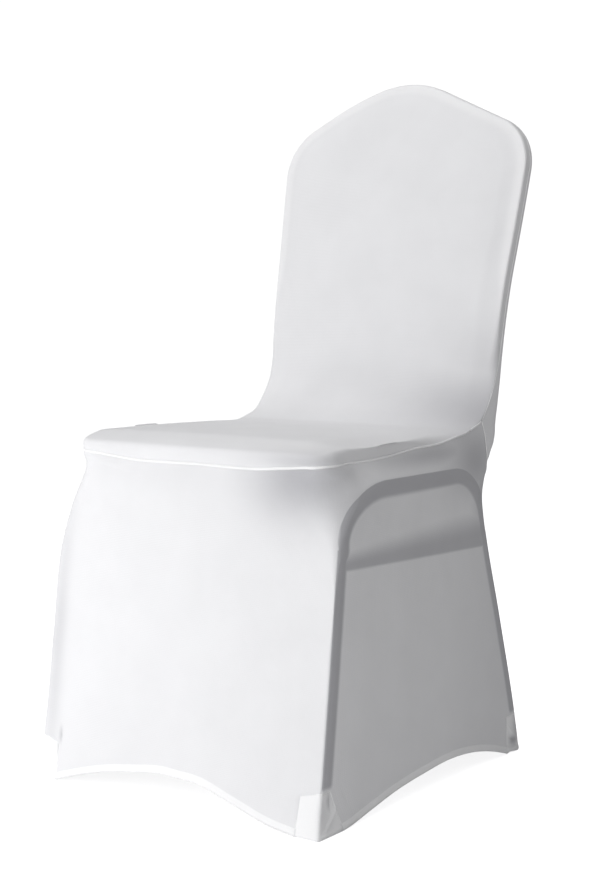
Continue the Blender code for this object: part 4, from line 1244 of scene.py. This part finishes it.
def place_seams(name, lines):
    """One piece of sewn ridges, from lines of points, outward directions and widths."""
    points, faces, flats, count = [], [], [], 0
    for line in lines:
        ridge, quads, flat = seam_ridge(*line)
        points.append(ridge)
        faces.append(quads + count)
        flats.append(flat)
        count += len(ridge)
    values = {"flat": np.concatenate(flats)}
    mesh, kept = cloth_mesh(name, np.concatenate(points), np.concatenate(faces), values)
    map_cloth(mesh, kept["flat"])
    thread = bpy.data.materials.get("overlocked_polyester_thread") or overlock_thread()
    return place_piece(name, mesh, thread)


def outline_seam(start, end):
    """Points and outward directions of the seam along a stretch of the left outline."""
    reach = np.linspace(start, end, FINE_STEPS)
    flat, outward = outline_frame(reach)
    _, tangent, _ = path_frame(flat[:, 1])
    return reach, seam_points(reach), np.column_stack([outward[:, 0], tangent * outward[:, 1:]])


def both_halves(points, outward, widths):
    """A line that starts on the middle plane, carried on from its mirror image."""
    return (
        np.concatenate([mirrored(points[:0:-1]), points]),
        np.concatenate([mirrored(outward[:0:-1]), outward]),
        np.concatenate([widths[:0:-1], widths]),
    )


def seat_seam_line():
    """The overlocked seam round the seat, wider in front than along the sides."""
    reach, points, outward = outline_seam(0.0, JUNCTION)
    sizes = scene_sizes()
    share = eased((reach - FLAT_END) / (ARC_END - FLAT_END))
    return both_halves(points, outward, sizes.front_seam + (sizes.side_seam - sizes.front_seam) * share)


def back_edge_line():
    """The seam up one side of the back, over its crown and down the other side."""
    reach, points, outward = outline_seam(JUNCTION, OUTLINE_END)
    widths = np.full(len(reach), scene_sizes().edge_seam)
    points, outward, widths = both_halves(points[::-1], outward[::-1], widths)
    return points + uneven_pull(points), outward, widths


def leg_seam_lines():
    """The seams between skirt and outside back, from the side junctions down to the rear pockets' rims."""
    z = np.linspace(POCKET_TOP, JUNCTION_Z, FINE_STEPS)
    plan, onward = rear_seam(z)
    points = np.column_stack([plan, z])
    outward = np.column_stack([onward[:, 1], -onward[:, 0], np.zeros(len(z))])
    widths = np.full(len(z), scene_sizes().edge_seam)
    return [(points, outward, widths), (mirrored(points), mirrored(outward), widths)]


def front_ring(ring):
    """One coarse ring of the inside back and seat, left half: flat place, depth, lift and cut place."""
    reach = np.concatenate([[mark[2] for mark in COLUMNS], BACK_REACHES, CROWN_REACHES])
    flat, outward = outline_frame(reach)
    drop = seam_drop(reach)
    roll = table_value(EDGE_ROWS, EDGE_COLUMNS, "roll", reach)
    fall = np.minimum(roll, drop * EDGE_SHARE)
    slant = 1 - math.sqrt(0.5)
    level = np.zeros_like(drop)
    inset, depth = (
        (level, drop - SEAM_GAP / 2),
        (level, fall),
        (roll * slant, fall * slant),
        (roll, level),
        (roll + BORDER_WIDTH, level),
    )[ring]
    laid = flat - outward * inset[:, None]
    return np.column_stack([laid, depth, level + RING_LIFT[ring], laid + outward * depth[:, None]])


def seat_sag(flat):
    """How far the seat's top sags towards its sides, over the flat piece."""
    sag = table_value(SAG_ROWS, SAG_COLUMNS, "sag", flat[..., 1])
    sag *= 1 - eased((SEAT_HALF_WIDTH - np.abs(flat[..., 0])) / SAG_WIDTH)
    return np.where(flat[..., 0] < 0, RIGHT_SAG_SHARE, 1.0) * sag


def padding(flat):
    """How far the padding lifts the cloth off the side path, over the flat piece."""
    across = np.clip(1 - (flat[..., 0] / SEAT_HALF_WIDTH) ** 2, 0, 1)
    seat = np.clip(flat[..., 1] / SEAT_DOME_END, 0, 1)
    back = np.clip((flat[..., 1] - BACK_DOME_START) / (PATH_END - BACK_DOME_START), 0, 1)
    return across * (SEAT_DOME * arch(seat) + BACK_DOME * arch(back))


def patch_between(front, left, right, crown):
    """The points of a four-sided patch filled in between its edges; rows run from front to crown."""
    u = np.linspace(0, 1, len(front))[None, :, None]
    v = np.linspace(0, 1, len(left))[:, None, None]
    across = (1 - u) * left[:, None] + u * right[:, None]
    down = (1 - v) * front[None] + v * crown[None]
    front_corners = (1 - u) * front[0] + u * front[-1]
    crown_corners = (1 - u) * crown[0] + u * crown[-1]
    return across + down - (1 - v) * front_corners - v * crown_corners


def patch_numbers(edges, first_free):
    """Point numbers of a patch: those of its front, left, right and crown edge, and new ones inside."""
    front, left, right, crown = edges
    numbers = np.full((len(left), len(crown)), -1)
    numbers[0], numbers[-1] = front, crown
    numbers[:, 0], numbers[:, -1] = left, right
    free = numbers < 0
    numbers[free] = np.arange(free.sum()) + first_free
    return numbers, free


def front_panel_lift(flat, from_edge):
    """Lift of the inside back and seat: its fuller back and lap, the pad's edge, and slow waves."""
    reach = flat[:, 1]
    on_back = eased((reach - BACK_DOME_START) / PAD_START)
    across = np.clip(1 - (flat[:, 0] / SEAT_HALF_WIDTH) ** 2, 0, 1)
    low = eased((reach - FULL_START) / (FULL_END - FULL_START))
    high = eased((reach - FULL_END) / (PATH_END - FULL_END))
    full = BACK_FULLNESS * across * low * (1 - (1 - FULL_CROWN_SHARE) * high)
    lap = soft_step(reach, LAP_START, LAP_SOFT) * (1 - soft_step(reach, LAP_END, LAP_SOFT))
    full += LAP_FILL * lap
    pad = soft_step(from_edge, PAD_EDGE, PAD_EDGE_SOFTNESS)
    waves = slow_waves(flat[:, 0] + flat[:, 1] / WAVE_STEEPNESS, eased(from_edge / WAVE_FADE))
    return full * eased(from_edge / LAP_EDGE) + PAD_RISE * pad * on_back + waves / 2


def build_front_panel():
    """The inside back and seat: closed rings along the seam and edge, a patch within, and their seams."""
    rings = through(np.stack([front_ring(ring) for ring in range(len(RING_LIFT))]), RING_MARKS)
    rings = np.concatenate([rings, (rings * [-1, 1, 1, 1, -1, 1])[:, -2:0:-1]], axis=1)
    laid, cut = rings[..., :2], rings[..., 4:]
    sunk = rings[..., 2] + seat_sag(laid) * np.minimum(RING_MARKS, 1)[:, None]
    points = lift_point(laid, sunk - rings[..., 3] * padding(laid))
    inner = laid[-1]
    count = points.shape[1]
    ring_numbers = np.arange(RINGS * count).reshape(RINGS, count)
    corner, shoulder = HALF_SEAT_STEPS, len(COLUMNS) - 1 + BACK_STEPS
    around = np.arange(count)
    edges = (
        np.concatenate([around[count - corner :], around[: corner + 1]]),
        around[count - shoulder : count - corner + 1][::-1],
        around[corner : shoulder + 1],
        around[shoulder : count - shoulder + 1][::-1],
    )
    patch = patch_between(*(inner[edge] for edge in edges))
    numbers, free = patch_numbers([edge + ring_numbers[-1, 0] for edge in edges], RINGS * count)
    closed = np.concatenate([ring_numbers, ring_numbers[:, :1]], axis=1)
    faces = np.concatenate([grid_faces(numbers.T), grid_faces(closed)[:, ::-1]])
    inside = patch[free]
    points = np.concatenate([points.reshape(-1, 3), lift_point(inside, seat_sag(inside) - padding(inside))])
    cut = np.concatenate([cut.reshape(-1, 2), inside])
    mesh, kept = cloth_mesh("front_panel", points, faces, {"cut": cut})
    whole = np.concatenate([OUTLINE, (OUTLINE * [-1, 1])[::-1]])
    from_edge = path_distance(whole, kept["cut"])
    raise_cloth(mesh, front_panel_lift(kept["cut"], from_edge))
    pull_back(mesh)
    map_cloth(mesh, kept["cut"])
    places, normals = mesh_points(mesh)
    # The knit shows doubled where "hem" is small, so the painted highlight round the back is given as a half
    # doubled hem
    clear = 1 - eased((kept["cut"][:, 1] - LIT_BORDER_START) / (LIT_BORDER_END - LIT_BORDER_START))
    clear += 1 - soft_step(-normals[:, 1], FRONT_FACING, FRONT_FACING_SOFT)
    plain = np.maximum(from_edge / LIT_BORDER_WIDTH + clear, LIT_BORDER_PLAINNESS)
    border = scene_sizes().hem_width + HEM_SOFT * plain
    # Here the shown value is painted shade in the lap, up the back's lower sides and at the seat's front
    # corner
    keep_values(mesh, hem=border, shown=shown_through_and_shaded("front_panel", places))
    seams = place_seams("seat_and_back_seams", [seat_seam_line(), back_edge_line()])
    return place_cloth(mesh, stretch_knit("seat_stretch_knit"), "front_panel")


def build_skirt():
    """The skirt: columns from the seat's seam to the hem, both halves in one, and its rear seams."""
    left, right = ([skirt_column(*mark, side) for mark in COLUMNS] for side in (1, -1))
    grid = np.stack([mirrored(points) for points in right[:0:-1]] + left, axis=1)
    marks = COLUMNS[:0:-1] + COLUMNS
    sides = np.array([-1] * (len(COLUMNS) - 1) + [1] * len(COLUMNS))
    reach = sides * np.array([mark[2] for mark in marks])
    hidden = np.array([over_pocket(*mark[:2]) for mark in marks])
    row = np.arange(len(grid))[:, None]
    keep = (row[:-1] <= SIDE_ROWS) | ~(hidden[:-1] & hidden[1:])
    numbers = np.arange(grid.shape[0] * grid.shape[1]).reshape(grid.shape[:2])
    z = grid[..., 2]
    values = {
        "reach": np.broadcast_to(reach, z.shape).ravel(),
        "seam": (z[0] - z).ravel(),
        "hem": np.where(hidden, FAR, z - z[-1]).ravel(),
        "under": (hidden & (row > SIDE_ROWS)).ravel(),
    }
    mesh, kept = cloth_mesh("skirt", grid.reshape(-1, 3), grid_faces(numbers, keep), values)
    places, normals = mesh_points(mesh)
    raise_cloth(mesh, skirt_relief(places, normals, **kept))
    map_cloth(mesh, np.column_stack([kept["reach"], places[:, 2]]))
    above, fade = brace_place(places)
    keep_values(mesh, hem=kept["hem"], tube=tube_depth(places), side=side_share(normals))
    # Here the shown value is the legs seen through the knit, and painted shade under the seat and along the
    # upper sides
    keep_values(mesh, brace=above, brace_fade=fade, shown=shown_through_and_shaded("skirt", places))
    seams = place_seams("leg_seams", leg_seam_lines())
    knit = stretch_knit("skirt_stretch_knit", over_frame_and_shade=True)
    return place_cloth(mesh, knit, "skirt")


def rear_point(x, height, depth):
    """A point from its half width, its height up the leaning back and its depth behind the front plane."""
    y = BACK_FOOT_Y + height * math.sin(RECLINE) + depth * math.cos(RECLINE)
    z = BACK_FOOT_Z + height * math.cos(RECLINE) - depth * math.sin(RECLINE)
    return np.stack([x, y, z], axis=-1)


def rear_place(point):
    """The same three measures of a point in space."""
    y = point[..., 1] - BACK_FOOT_Y
    z = point[..., 2] - BACK_FOOT_Z
    height = y * math.sin(RECLINE) + z * math.cos(RECLINE)
    depth = y * math.cos(RECLINE) - z * math.sin(RECLINE)
    return point[..., 0], height, depth


def rear_dome(x, height):
    """How far the outside back stands behind its plane."""
    ends = seam_points(np.array([JUNCTION, OUTLINE_END]))
    low, high = rear_place(ends)[1]
    up = np.clip((height - low) / (high - low), 0, 1)
    return REAR_DOME * arch(up) * np.clip(1 - (x / SEAT_HALF_WIDTH) ** 2, 0, 1)


def rear_ring(ring):
    """One coarse ring of the outside back, left half, from the side junction to the crown's tip."""
    reach = np.concatenate([[JUNCTION], BACK_REACHES, CROWN_REACHES])
    x, height, depth = rear_place(seam_points(reach))
    _, outward = outline_frame(reach)
    last = np.full_like(depth, BACK_THICKNESS)
    inset, deep = (
        (0.0, depth + SEAM_GAP / 2),
        (0.0, depth + SEAM_FLAT),
        (0.0, last - BACK_EDGE_RADIUS),
        (BACK_EDGE_RADIUS, last),
        (BORDER_WIDTH, last),
    )[ring]
    x, height = x - outward[:, 0] * inset, height - outward[:, 1] * inset
    return np.stack([x, height, deep + RING_LIFT[ring] * rear_dome(x, height)], axis=-1)


def rear_band(z):
    """Plan points of the outside back's coarse edge columns below the junction, left half."""
    seam, onward = rear_seam(z)
    line = rear_line("y", z)
    share = eased((z - WRAP_LOW_Z) / (WRAP_HIGH_Z - WRAP_LOW_Z))[:, None]
    band = [seam + onward * SEAM_GAP / 2, seam + onward * SEAM_FLAT]
    high = (
        (seam[:, 0], line - BACK_EDGE_RADIUS),
        (seam[:, 0] - BACK_EDGE_RADIUS, line),
        (seam[:, 0] - BORDER_WIDTH, line),
    )
    for place, reach in zip(high, LEG_BAND):
        band.append(share * np.stack(place, axis=-1) + (1 - share) * (seam + onward * reach))
    return np.stack(band)


def rear_column(top, step, share):
    """One column of the outside back from the junction's level down to the hem."""
    z = panel_heights(top[2], REAR_HEM_FLOOR + REAR_HEM_RISE * (1 - share**2))
    side = through(rear_band(z), RING_MARKS[[min(step, RINGS - 1)]])[0]
    plan = side * [math.copysign(1, share), 1]
    if step >= RINGS:
        bow = rear_line("bow", z) * (1 - share**2)
        plan = np.stack([side[:, 0] * share, side[:, 1] + bow], axis=-1)
    return np.column_stack([held_to_seam(plan, z, top), z])


def hang_lower_back(points, level):
    """Points, faces, hem distances and hidden points of the outside back below the junction's level."""
    top = points[level]
    middle = len(top) // 2
    order = np.arange(len(top))
    steps = np.minimum(order, order[::-1])
    shares = np.clip((order - middle) / (middle - RINGS + 1), -1, 1)
    columns = [rear_column(start, step, share) for start, step, share in zip(top, steps, shares)]
    rows = np.stack(columns, axis=1)
    hem = np.where(steps < RINGS - 1, FAR, rows[..., 2] - rows[-1, :, 2])[1:]
    rows = rows[1:]
    below = np.arange(rows.shape[0] * rows.shape[1]).reshape(rows.shape[:2]) + len(points)
    numbers = np.concatenate([level[None], below])
    row = np.arange(len(rows))[:, None]
    keep = (row <= SIDE_ROWS) | (np.maximum(steps[:-1], steps[1:]) >= RINGS - 1)
    under = (steps < RINGS - 1) & (row >= SIDE_ROWS)
    return rows.reshape(-1, 3), grid_faces(numbers, keep)[:, ::-1], hem.ravel(), under.ravel()


def build_back_panel():
    """The outside back: half rings around its top, a patch within them, and columns hung below."""
    half = through(np.stack([rear_ring(ring) for ring in range(len(RING_LIFT))]), RING_MARKS)
    rings = np.concatenate([half * [-1, 1, 1], half[:, -2::-1]], axis=1)
    count = rings.shape[1]
    ring_numbers = np.arange(RINGS * count).reshape(RINGS, count)
    inner, first = rings[-1], ring_numbers[-1, 0]
    across = np.linspace(-1, 1, 2 * HALF_SEAT_STEPS + 1)
    bottom = np.stack([inner[-1, 0] * across, np.full_like(across, inner[0, 1])], axis=-1)
    left = np.arange(BACK_STEPS + 1)
    right = count - 1 - left
    crown = np.arange(BACK_STEPS, count - BACK_STEPS)
    patch = patch_between(bottom, inner[left, :2], inner[right, :2], inner[crown, :2])
    numbers, free = patch_numbers((-1, left + first, right + first, crown + first), RINGS * count)
    inside = patch[free]
    depth = BACK_THICKNESS + rear_dome(inside[:, 0], inside[:, 1])
    points = np.concatenate([rear_point(*rings.reshape(-1, 3).T), rear_point(*inside.T, depth)])
    level = np.concatenate([ring_numbers[:-1, 0], numbers[0], ring_numbers[-2::-1, -1]])
    hung, faces_below, hem, under = hang_lower_back(points, level)
    faces = np.concatenate([grid_faces(numbers), grid_faces(ring_numbers)[:, ::-1], faces_below])
    values = {
        "hem": np.concatenate([np.full(len(points), FAR), hem]),
        "under": np.concatenate([np.zeros(len(points)), under]),
    }
    mesh, kept = cloth_mesh("back_panel", np.concatenate([points, hung]), faces, values)
    places, _ = mesh_points(mesh)
    x, _, z = places.T
    inland = eased((NECK_HALF_WIDTH - BORDER_WIDTH / 2 - np.abs(x)) / BORDER_WIDTH)
    lift = HEM_LIFT * (1 - soft_step(kept["hem"], scene_sizes().hem_width, HEM_SOFT))
    lift += slow_waves(x, inland * eased(kept["hem"] / WAVE_FADE))
    lift += crease_lift(rows_of(CREASE_ROWS, "rear"), x, z)
    raise_cloth(mesh, lift - UNDERLAP * kept["under"])
    pull_back(mesh)
    _, _, depth = rear_place(places)
    wrap = np.where(z > JUNCTION_Z, np.clip(BACK_THICKNESS - depth, 0, BACK_THICKNESS), 0)
    map_cloth(mesh, np.column_stack([x + np.sign(x) * wrap, z]))
    keep_values(mesh, hem=kept["hem"])
    return place_cloth(mesh, stretch_knit("outside_back_stretch_knit"), "back_panel")


def pocket_face(front, z):
    """Plan points of a foot pocket's face at a height, from its front or rear edge round to its side edge."""
    height = np.array([z])
    if front:
        front_start, side_end = low_share("front", FRONT_RIM, z), low_share("side", LOW_RIM, z)
        runs = (("front", front_start, 1.0), ("corner", 0.0, 1.0), ("side", 0.0, side_end))
        points = []
    else:
        runs = (("rear", 1.0, 0.0), ("side", 1.0, low_share("side", HIGH_RIM, z)))
        points = list(rear_band(height)[::-1, 0])
    for kind, start, end in runs:
        shares = np.linspace(start, end, POCKET_ARC_STEPS)
        points += [skirt_section(kind, share, height)[0] for share in shares]
    return np.array(points)


def pocket_ring(front, z):
    """A foot pocket's closed ring of plan points, face first, with how far each lies along and behind it."""
    path = pocket_face(front, z)
    place, inward = ("front", 1) if front else ("rear", -1)
    leg_corner = np.array([leg(place + "_x", z), leg(place + "_y", z)])
    middle = path_reaches(path)[np.argmin(np.linalg.norm(path - leg_corner, axis=1))]
    reach = np.linspace(POCKET_GAP / 2, path_length(path) - POCKET_GAP / 2, FACE_STEPS + 1)
    face = along(path, reach)
    inner = (
        min(face[0, 0] + POCKET_TAPER, leg_corner[0] - POCKET_LEG_ROOM),
        leg_corner[1] + inward * max(abs(face[-1, 1] - leg_corner[1]) - POCKET_TAPER, POCKET_LEG_ROOM),
        POCKET_INNER_ROUND,
    )
    wall = rounded_path(((*face[-1], 0.0), inner, (*face[0], 0.0)), POCKET_ARC_STEPS)
    way = np.linspace(0, path_length(wall), WALL_STEPS + 1)[1:-1]
    behind = np.concatenate([np.zeros(len(face)), np.minimum(way, path_length(wall) - way)])
    across = np.concatenate([reach - middle, np.full(len(way), FAR)])
    return np.concatenate([face, along(wall, way)]), across, behind


def ring_outward(ring):
    """Outward directions of a closed ring of plan points."""
    tangent = unit(np.roll(ring, -1, axis=0) - np.roll(ring, 1, axis=0))
    outward = np.stack([tangent[:, 1], -tangent[:, 0]], axis=-1)
    return outward * np.sign(np.sum((ring - ring.mean(axis=0)) * outward))


def rim_over(front, plan):
    """Height of a foot pocket's rim over its plan points."""
    reach = leg("front_x", POCKET_TOP) - leg("round_x", POCKET_TOP)
    return rim_height("front" if front else "rear", plan[:, 0] / reach) + 0 * plan[:, 0]


def pocket_seam_line(front, side):
    """The seam of a foot pocket: up one edge, along its rim round the leg, and down the other edge."""
    levels = np.linspace(SOLE_ROUND, POCKET_TOP, POCKET_UP)
    faces = [pocket_ring(front, z)[0][: FACE_STEPS + 1] for z in levels]
    heights = [z * rim_over(front, face) / POCKET_TOP for z, face in zip(levels, faces)]
    faces = np.stack([np.column_stack(rows) for rows in zip(faces, heights)])
    path = np.concatenate([faces[:-1, 0], faces[-1], faces[-2::-1, -1]])
    facing = ring_outward(pocket_ring(front, POCKET_TOP)[0])[1:FACE_STEPS]
    facing = np.concatenate([facing[:1], facing, facing[-1:]])
    facing = np.column_stack([facing, np.zeros(len(facing))])
    ends = [np.broadcast_to(facing[i], (len(levels) - 1, 3)) for i in (0, -1)]
    outward = np.concatenate([ends[0], facing, ends[1]])
    turn = [side, 1, 1]
    return path * turn, outward * turn, np.full(len(path), scene_sizes().pocket_seam)


def build_pocket(front, side, knit):
    """A foot pocket: a cup with a flat sole, open at the top, wrinkled where it is drawn over the foot."""
    name = f"foot_pocket_{'front' if front else 'rear'}_{'left' if side > 0 else 'right'}"
    sole_turn = np.linspace(0, math.pi / 2, SOLE_STEPS, endpoint=False)
    sole_rise = SOLE_ROUND * (1 - np.cos(sole_turn))
    heights = np.concatenate([sole_rise, np.linspace(SOLE_ROUND, POCKET_TOP, POCKET_UP)])
    insets = np.concatenate([SOLE_INSET * (1 - np.sin(sole_turn)), np.zeros(POCKET_UP)])
    creases = rows_of(POCKET_CREASE_ROWS, "pockets") + rows_of(POCKET_CREASE_ROWS, name)
    count = FACE_STEPS + WALL_STEPS
    turn = np.arange(count) * POCKET_GIRTH / count
    rings, cuts = [], []
    for z, inset in zip(heights, insets):
        plan, across, behind = pocket_ring(front, z)
        lift = crease_lift(creases, across, np.full_like(across, z))
        lift *= eased(z / SOLE_ROUND) * eased((POCKET_TOP - z) / SOLE_ROUND)
        raised = WALL_RISE * eased(behind / WALL_REACH)
        raised += 0.0 if front else REAR_EDGE_RISE * np.clip(across / REAR_EDGE_REACH, 0, 1)
        height = z * rim_over(front, plan) / POCKET_TOP + raised * (1 - z / POCKET_TOP)
        drawn_in = (plan.mean(axis=0) - plan) * inset / POCKET_LEG_ROOM
        plan = plan + ring_outward(plan) * lift[:, None] + drawn_in
        rings.append(np.column_stack([plan, height]))
        cuts.append(np.column_stack([turn, height]))
    sole, middle = rings[0], rings[0].mean(axis=0)
    for share in SOLE_SHARES:
        rings.insert(0, middle + (sole - middle) * share)
        cuts.insert(0, cuts[0] - [0, POCKET_TOP / len(SOLE_SHARES)])
    grid = np.stack(rings) * [side, 1, 1]
    numbers = np.arange(grid.shape[0] * count).reshape(-1, count)
    faces = grid_faces(np.concatenate([numbers, numbers[:, :1]], axis=1))
    plan, after = grid[-1], np.roll(grid[-1], -1, axis=0)
    if np.sum(plan[:, 0] * after[:, 1] - plan[:, 1] * after[:, 0]) > 0:
        faces = faces[:, ::-1]
    mesh, kept = cloth_mesh(name, grid.reshape(-1, 3), faces, {"cut": np.concatenate(cuts)})
    map_cloth(mesh, kept["cut"])
    keep_values(mesh, shown=shown_through_and_shaded(name, mesh_points(mesh)[0]))
    seam = place_seams(name + "_seam", [pocket_seam_line(front, side)])
    return place_cloth(mesh, knit, name)


def studio_floor():
    """Matt white painted floor: it gives an even pale ground with a faint shadow at the feet."""
    material, add = new_material("matt_painted_floor")
    place = add("ShaderNodeTexCoord", output="Object")
    grain = add("ShaderNodeTexNoise", {"Vector": place, "Scale": FLOOR_GRAIN, "Detail": 2.0}, "Fac")
    whites = {0: grain, 6: linear("#F4F4F5"), 7: linear("#F8F8F8")}
    colour = add("ShaderNodeMix", whites, 2, data_type="RGBA")
    seen = add("ShaderNodeLightPath", output="Is Camera Ray")
    glow = add("ShaderNodeMath", {0: seen, 1: FLOOR_GLOW}, operation="MULTIPLY")
    layers = {
        0: add("ShaderNodeBsdfDiffuse", {"Color": colour}),
        1: add("ShaderNodeEmission", {"Color": colour, "Strength": glow}),
    }
    add("ShaderNodeOutputMaterial", {"Surface": add("ShaderNodeAddShader", layers)})
    return material


def studio_world():
    """A white room: plain white where it is seen, and a soft fill from all round."""
    world = bpy.data.worlds.new("white_studio")
    world.use_nodes = True
    world.node_tree.nodes.clear()
    add = partial(add_node, world.node_tree)
    seen = add("ShaderNodeLightPath", output="Is Camera Ray")
    strength = add("ShaderNodeMapRange", {"Value": seen, "To Min": ROOM_FILL, "To Max": ROOM_SEEN})
    light = add("ShaderNodeBackground", {"Color": linear("#FFFFFF"), "Strength": strength})
    add("ShaderNodeOutputWorld", {"Surface": light})
    bpy.context.scene.world = world


def aim(thing, place, target):
    """Put a lamp at a place, facing a target."""
    thing.location = place
    thing.rotation_euler = (Vector(target) - Vector(place)).to_track_quat("-Z", "Y").to_euler()


def build_stage():
    """Floor, room, lamps and camera."""
    half = bpy.context.scene.cover_studio.floor
    mesh = bpy.data.meshes.new("floor")
    corners = [(-half, -half, 0), (half, -half, 0), (half, half, 0), (-half, half, 0)]
    mesh.from_pydata(corners, [], [(0, 1, 2, 3)])
    mesh.materials.append(studio_floor())
    floor = bpy.data.objects.new("studio_floor", mesh)
    floor.location.z = FRAME_BOX[0][2] - FLOOR_DROP
    bpy.context.scene.collection.objects.link(floor)
    studio_world()
    for name, *numbers in LAMP_ROWS:
        lamp = dict(zip(LAMP_COLUMNS[1:], numbers))
        data = bpy.data.lights.new(name, "AREA")
        data.shape = "RECTANGLE"
        data.size, data.size_y = lamp["width"], lamp["height"]
        data.energy = lamp["watts"] * bpy.context.scene.cover_studio.key
        round_, up = math.radians(lamp["azimuth"]), math.radians(lamp["elevation"])
        away = Vector((math.sin(round_) * math.cos(up), -math.cos(round_) * math.cos(up), math.sin(up)))
        target = Vector((0, 0, LAMP_TARGET_Z))
        holder = bpy.data.objects.new(name, data)
        holder.visible_camera = False
        bpy.context.scene.collection.objects.link(holder)
        aim(holder, target + away * lamp["distance"], target)
    camera = bpy.data.cameras.new("camera")
    camera.sensor_fit = "VERTICAL"
    camera.sensor_height = SENSOR_HEIGHT
    camera.lens = LENS
    camera.shift_x, camera.shift_y = CAMERA_SHIFT
    holder = bpy.data.objects.new("camera", camera)
    holder.location = CAMERA_PLACE
    holder.rotation_euler = (math.radians(90 - CAMERA_DIP), 0, math.radians(CAMERA_TURN))
    bpy.context.scene.collection.objects.link(holder)
    bpy.context.scene.camera = holder
    bpy.context.scene.view_settings.view_transform = "Standard"


class COVER_OT_front_panel(bpy.types.Operator):
    """Build the inside back and seat, with the seams round them"""

    bl_idname = "cover.front_panel"
    bl_label = "Inside back and seat"

    def execute(self, context):
        build_front_panel()
        return {"FINISHED"}


class COVER_OT_back_panel(bpy.types.Operator):
    """Build the outside back"""

    bl_idname = "cover.back_panel"
    bl_label = "Outside back"

    def execute(self, context):
        build_back_panel()
        return {"FINISHED"}


class COVER_OT_skirt(bpy.types.Operator):
    """Build the skirt and its rear seams"""

    bl_idname = "cover.skirt"
    bl_label = "Skirt"

    def execute(self, context):
        build_skirt()
        return {"FINISHED"}


class COVER_OT_foot_pockets(bpy.types.Operator):
    """Build the four foot pockets"""

    bl_idname = "cover.foot_pockets"
    bl_label = "Foot pockets"

    def execute(self, context):
        knit = stretch_knit("pocket_stretch_knit", doubled=True)
        for front in (True, False):
            for side in (1, -1):
                build_pocket(front, side, knit)
        return {"FINISHED"}


class COVER_OT_stage(bpy.types.Operator):
    """Set up the pale studio and the camera"""

    bl_idname = "cover.stage"
    bl_label = "Studio and camera"

    def execute(self, context):
        build_stage()
        return {"FINISHED"}


class COVER_PT_pieces(bpy.types.Panel):
    """The cover's sizes, colours and pieces"""

    bl_label = "Chair cover"
    bl_idname = "COVER_PT_pieces"
    bl_space_type = "VIEW_3D"
    bl_region_type = "UI"
    bl_category = "Chair cover"

    def draw(self, context):
        for group in (context.scene.cover_sizes, context.scene.cover_colours, context.scene.cover_studio):
            for name in group.bl_rna.properties.keys():
                if name not in ("rna_type", "name"):
                    self.layout.prop(group, name)
        for operator in OPERATORS:
            self.layout.operator(operator.bl_idname)


GROUPS = {"cover_sizes": CoverSizes, "cover_colours": CoverColours, "cover_studio": CoverStudio}
OPERATORS = (
    COVER_OT_front_panel,
    COVER_OT_back_panel,
    COVER_OT_skirt,
    COVER_OT_foot_pockets,
    COVER_OT_stage,
)


def register():
    """Add the cover's settings, operators and panel to Blender."""
    for each in (*GROUPS.values(), *OPERATORS, COVER_PT_pieces):
        bpy.utils.register_class(each)
    for name, group in GROUPS.items():
        setattr(bpy.types.Scene, name, bpy.props.PointerProperty(type=group))


def unregister():
    """Take them out again."""
    for name in GROUPS:
        delattr(bpy.types.Scene, name)
    for each in (COVER_PT_pieces, *OPERATORS[::-1], *GROUPS.values()):
        bpy.utils.unregister_class(each)


def main():
    """Build the whole cover and its studio."""
    register()
    bpy.ops.cover.front_panel()
    bpy.ops.cover.back_panel()
    bpy.ops.cover.skirt()
    bpy.ops.cover.foot_pockets()
    bpy.ops.cover.stage()


if __name__ == "__main__":
    main()
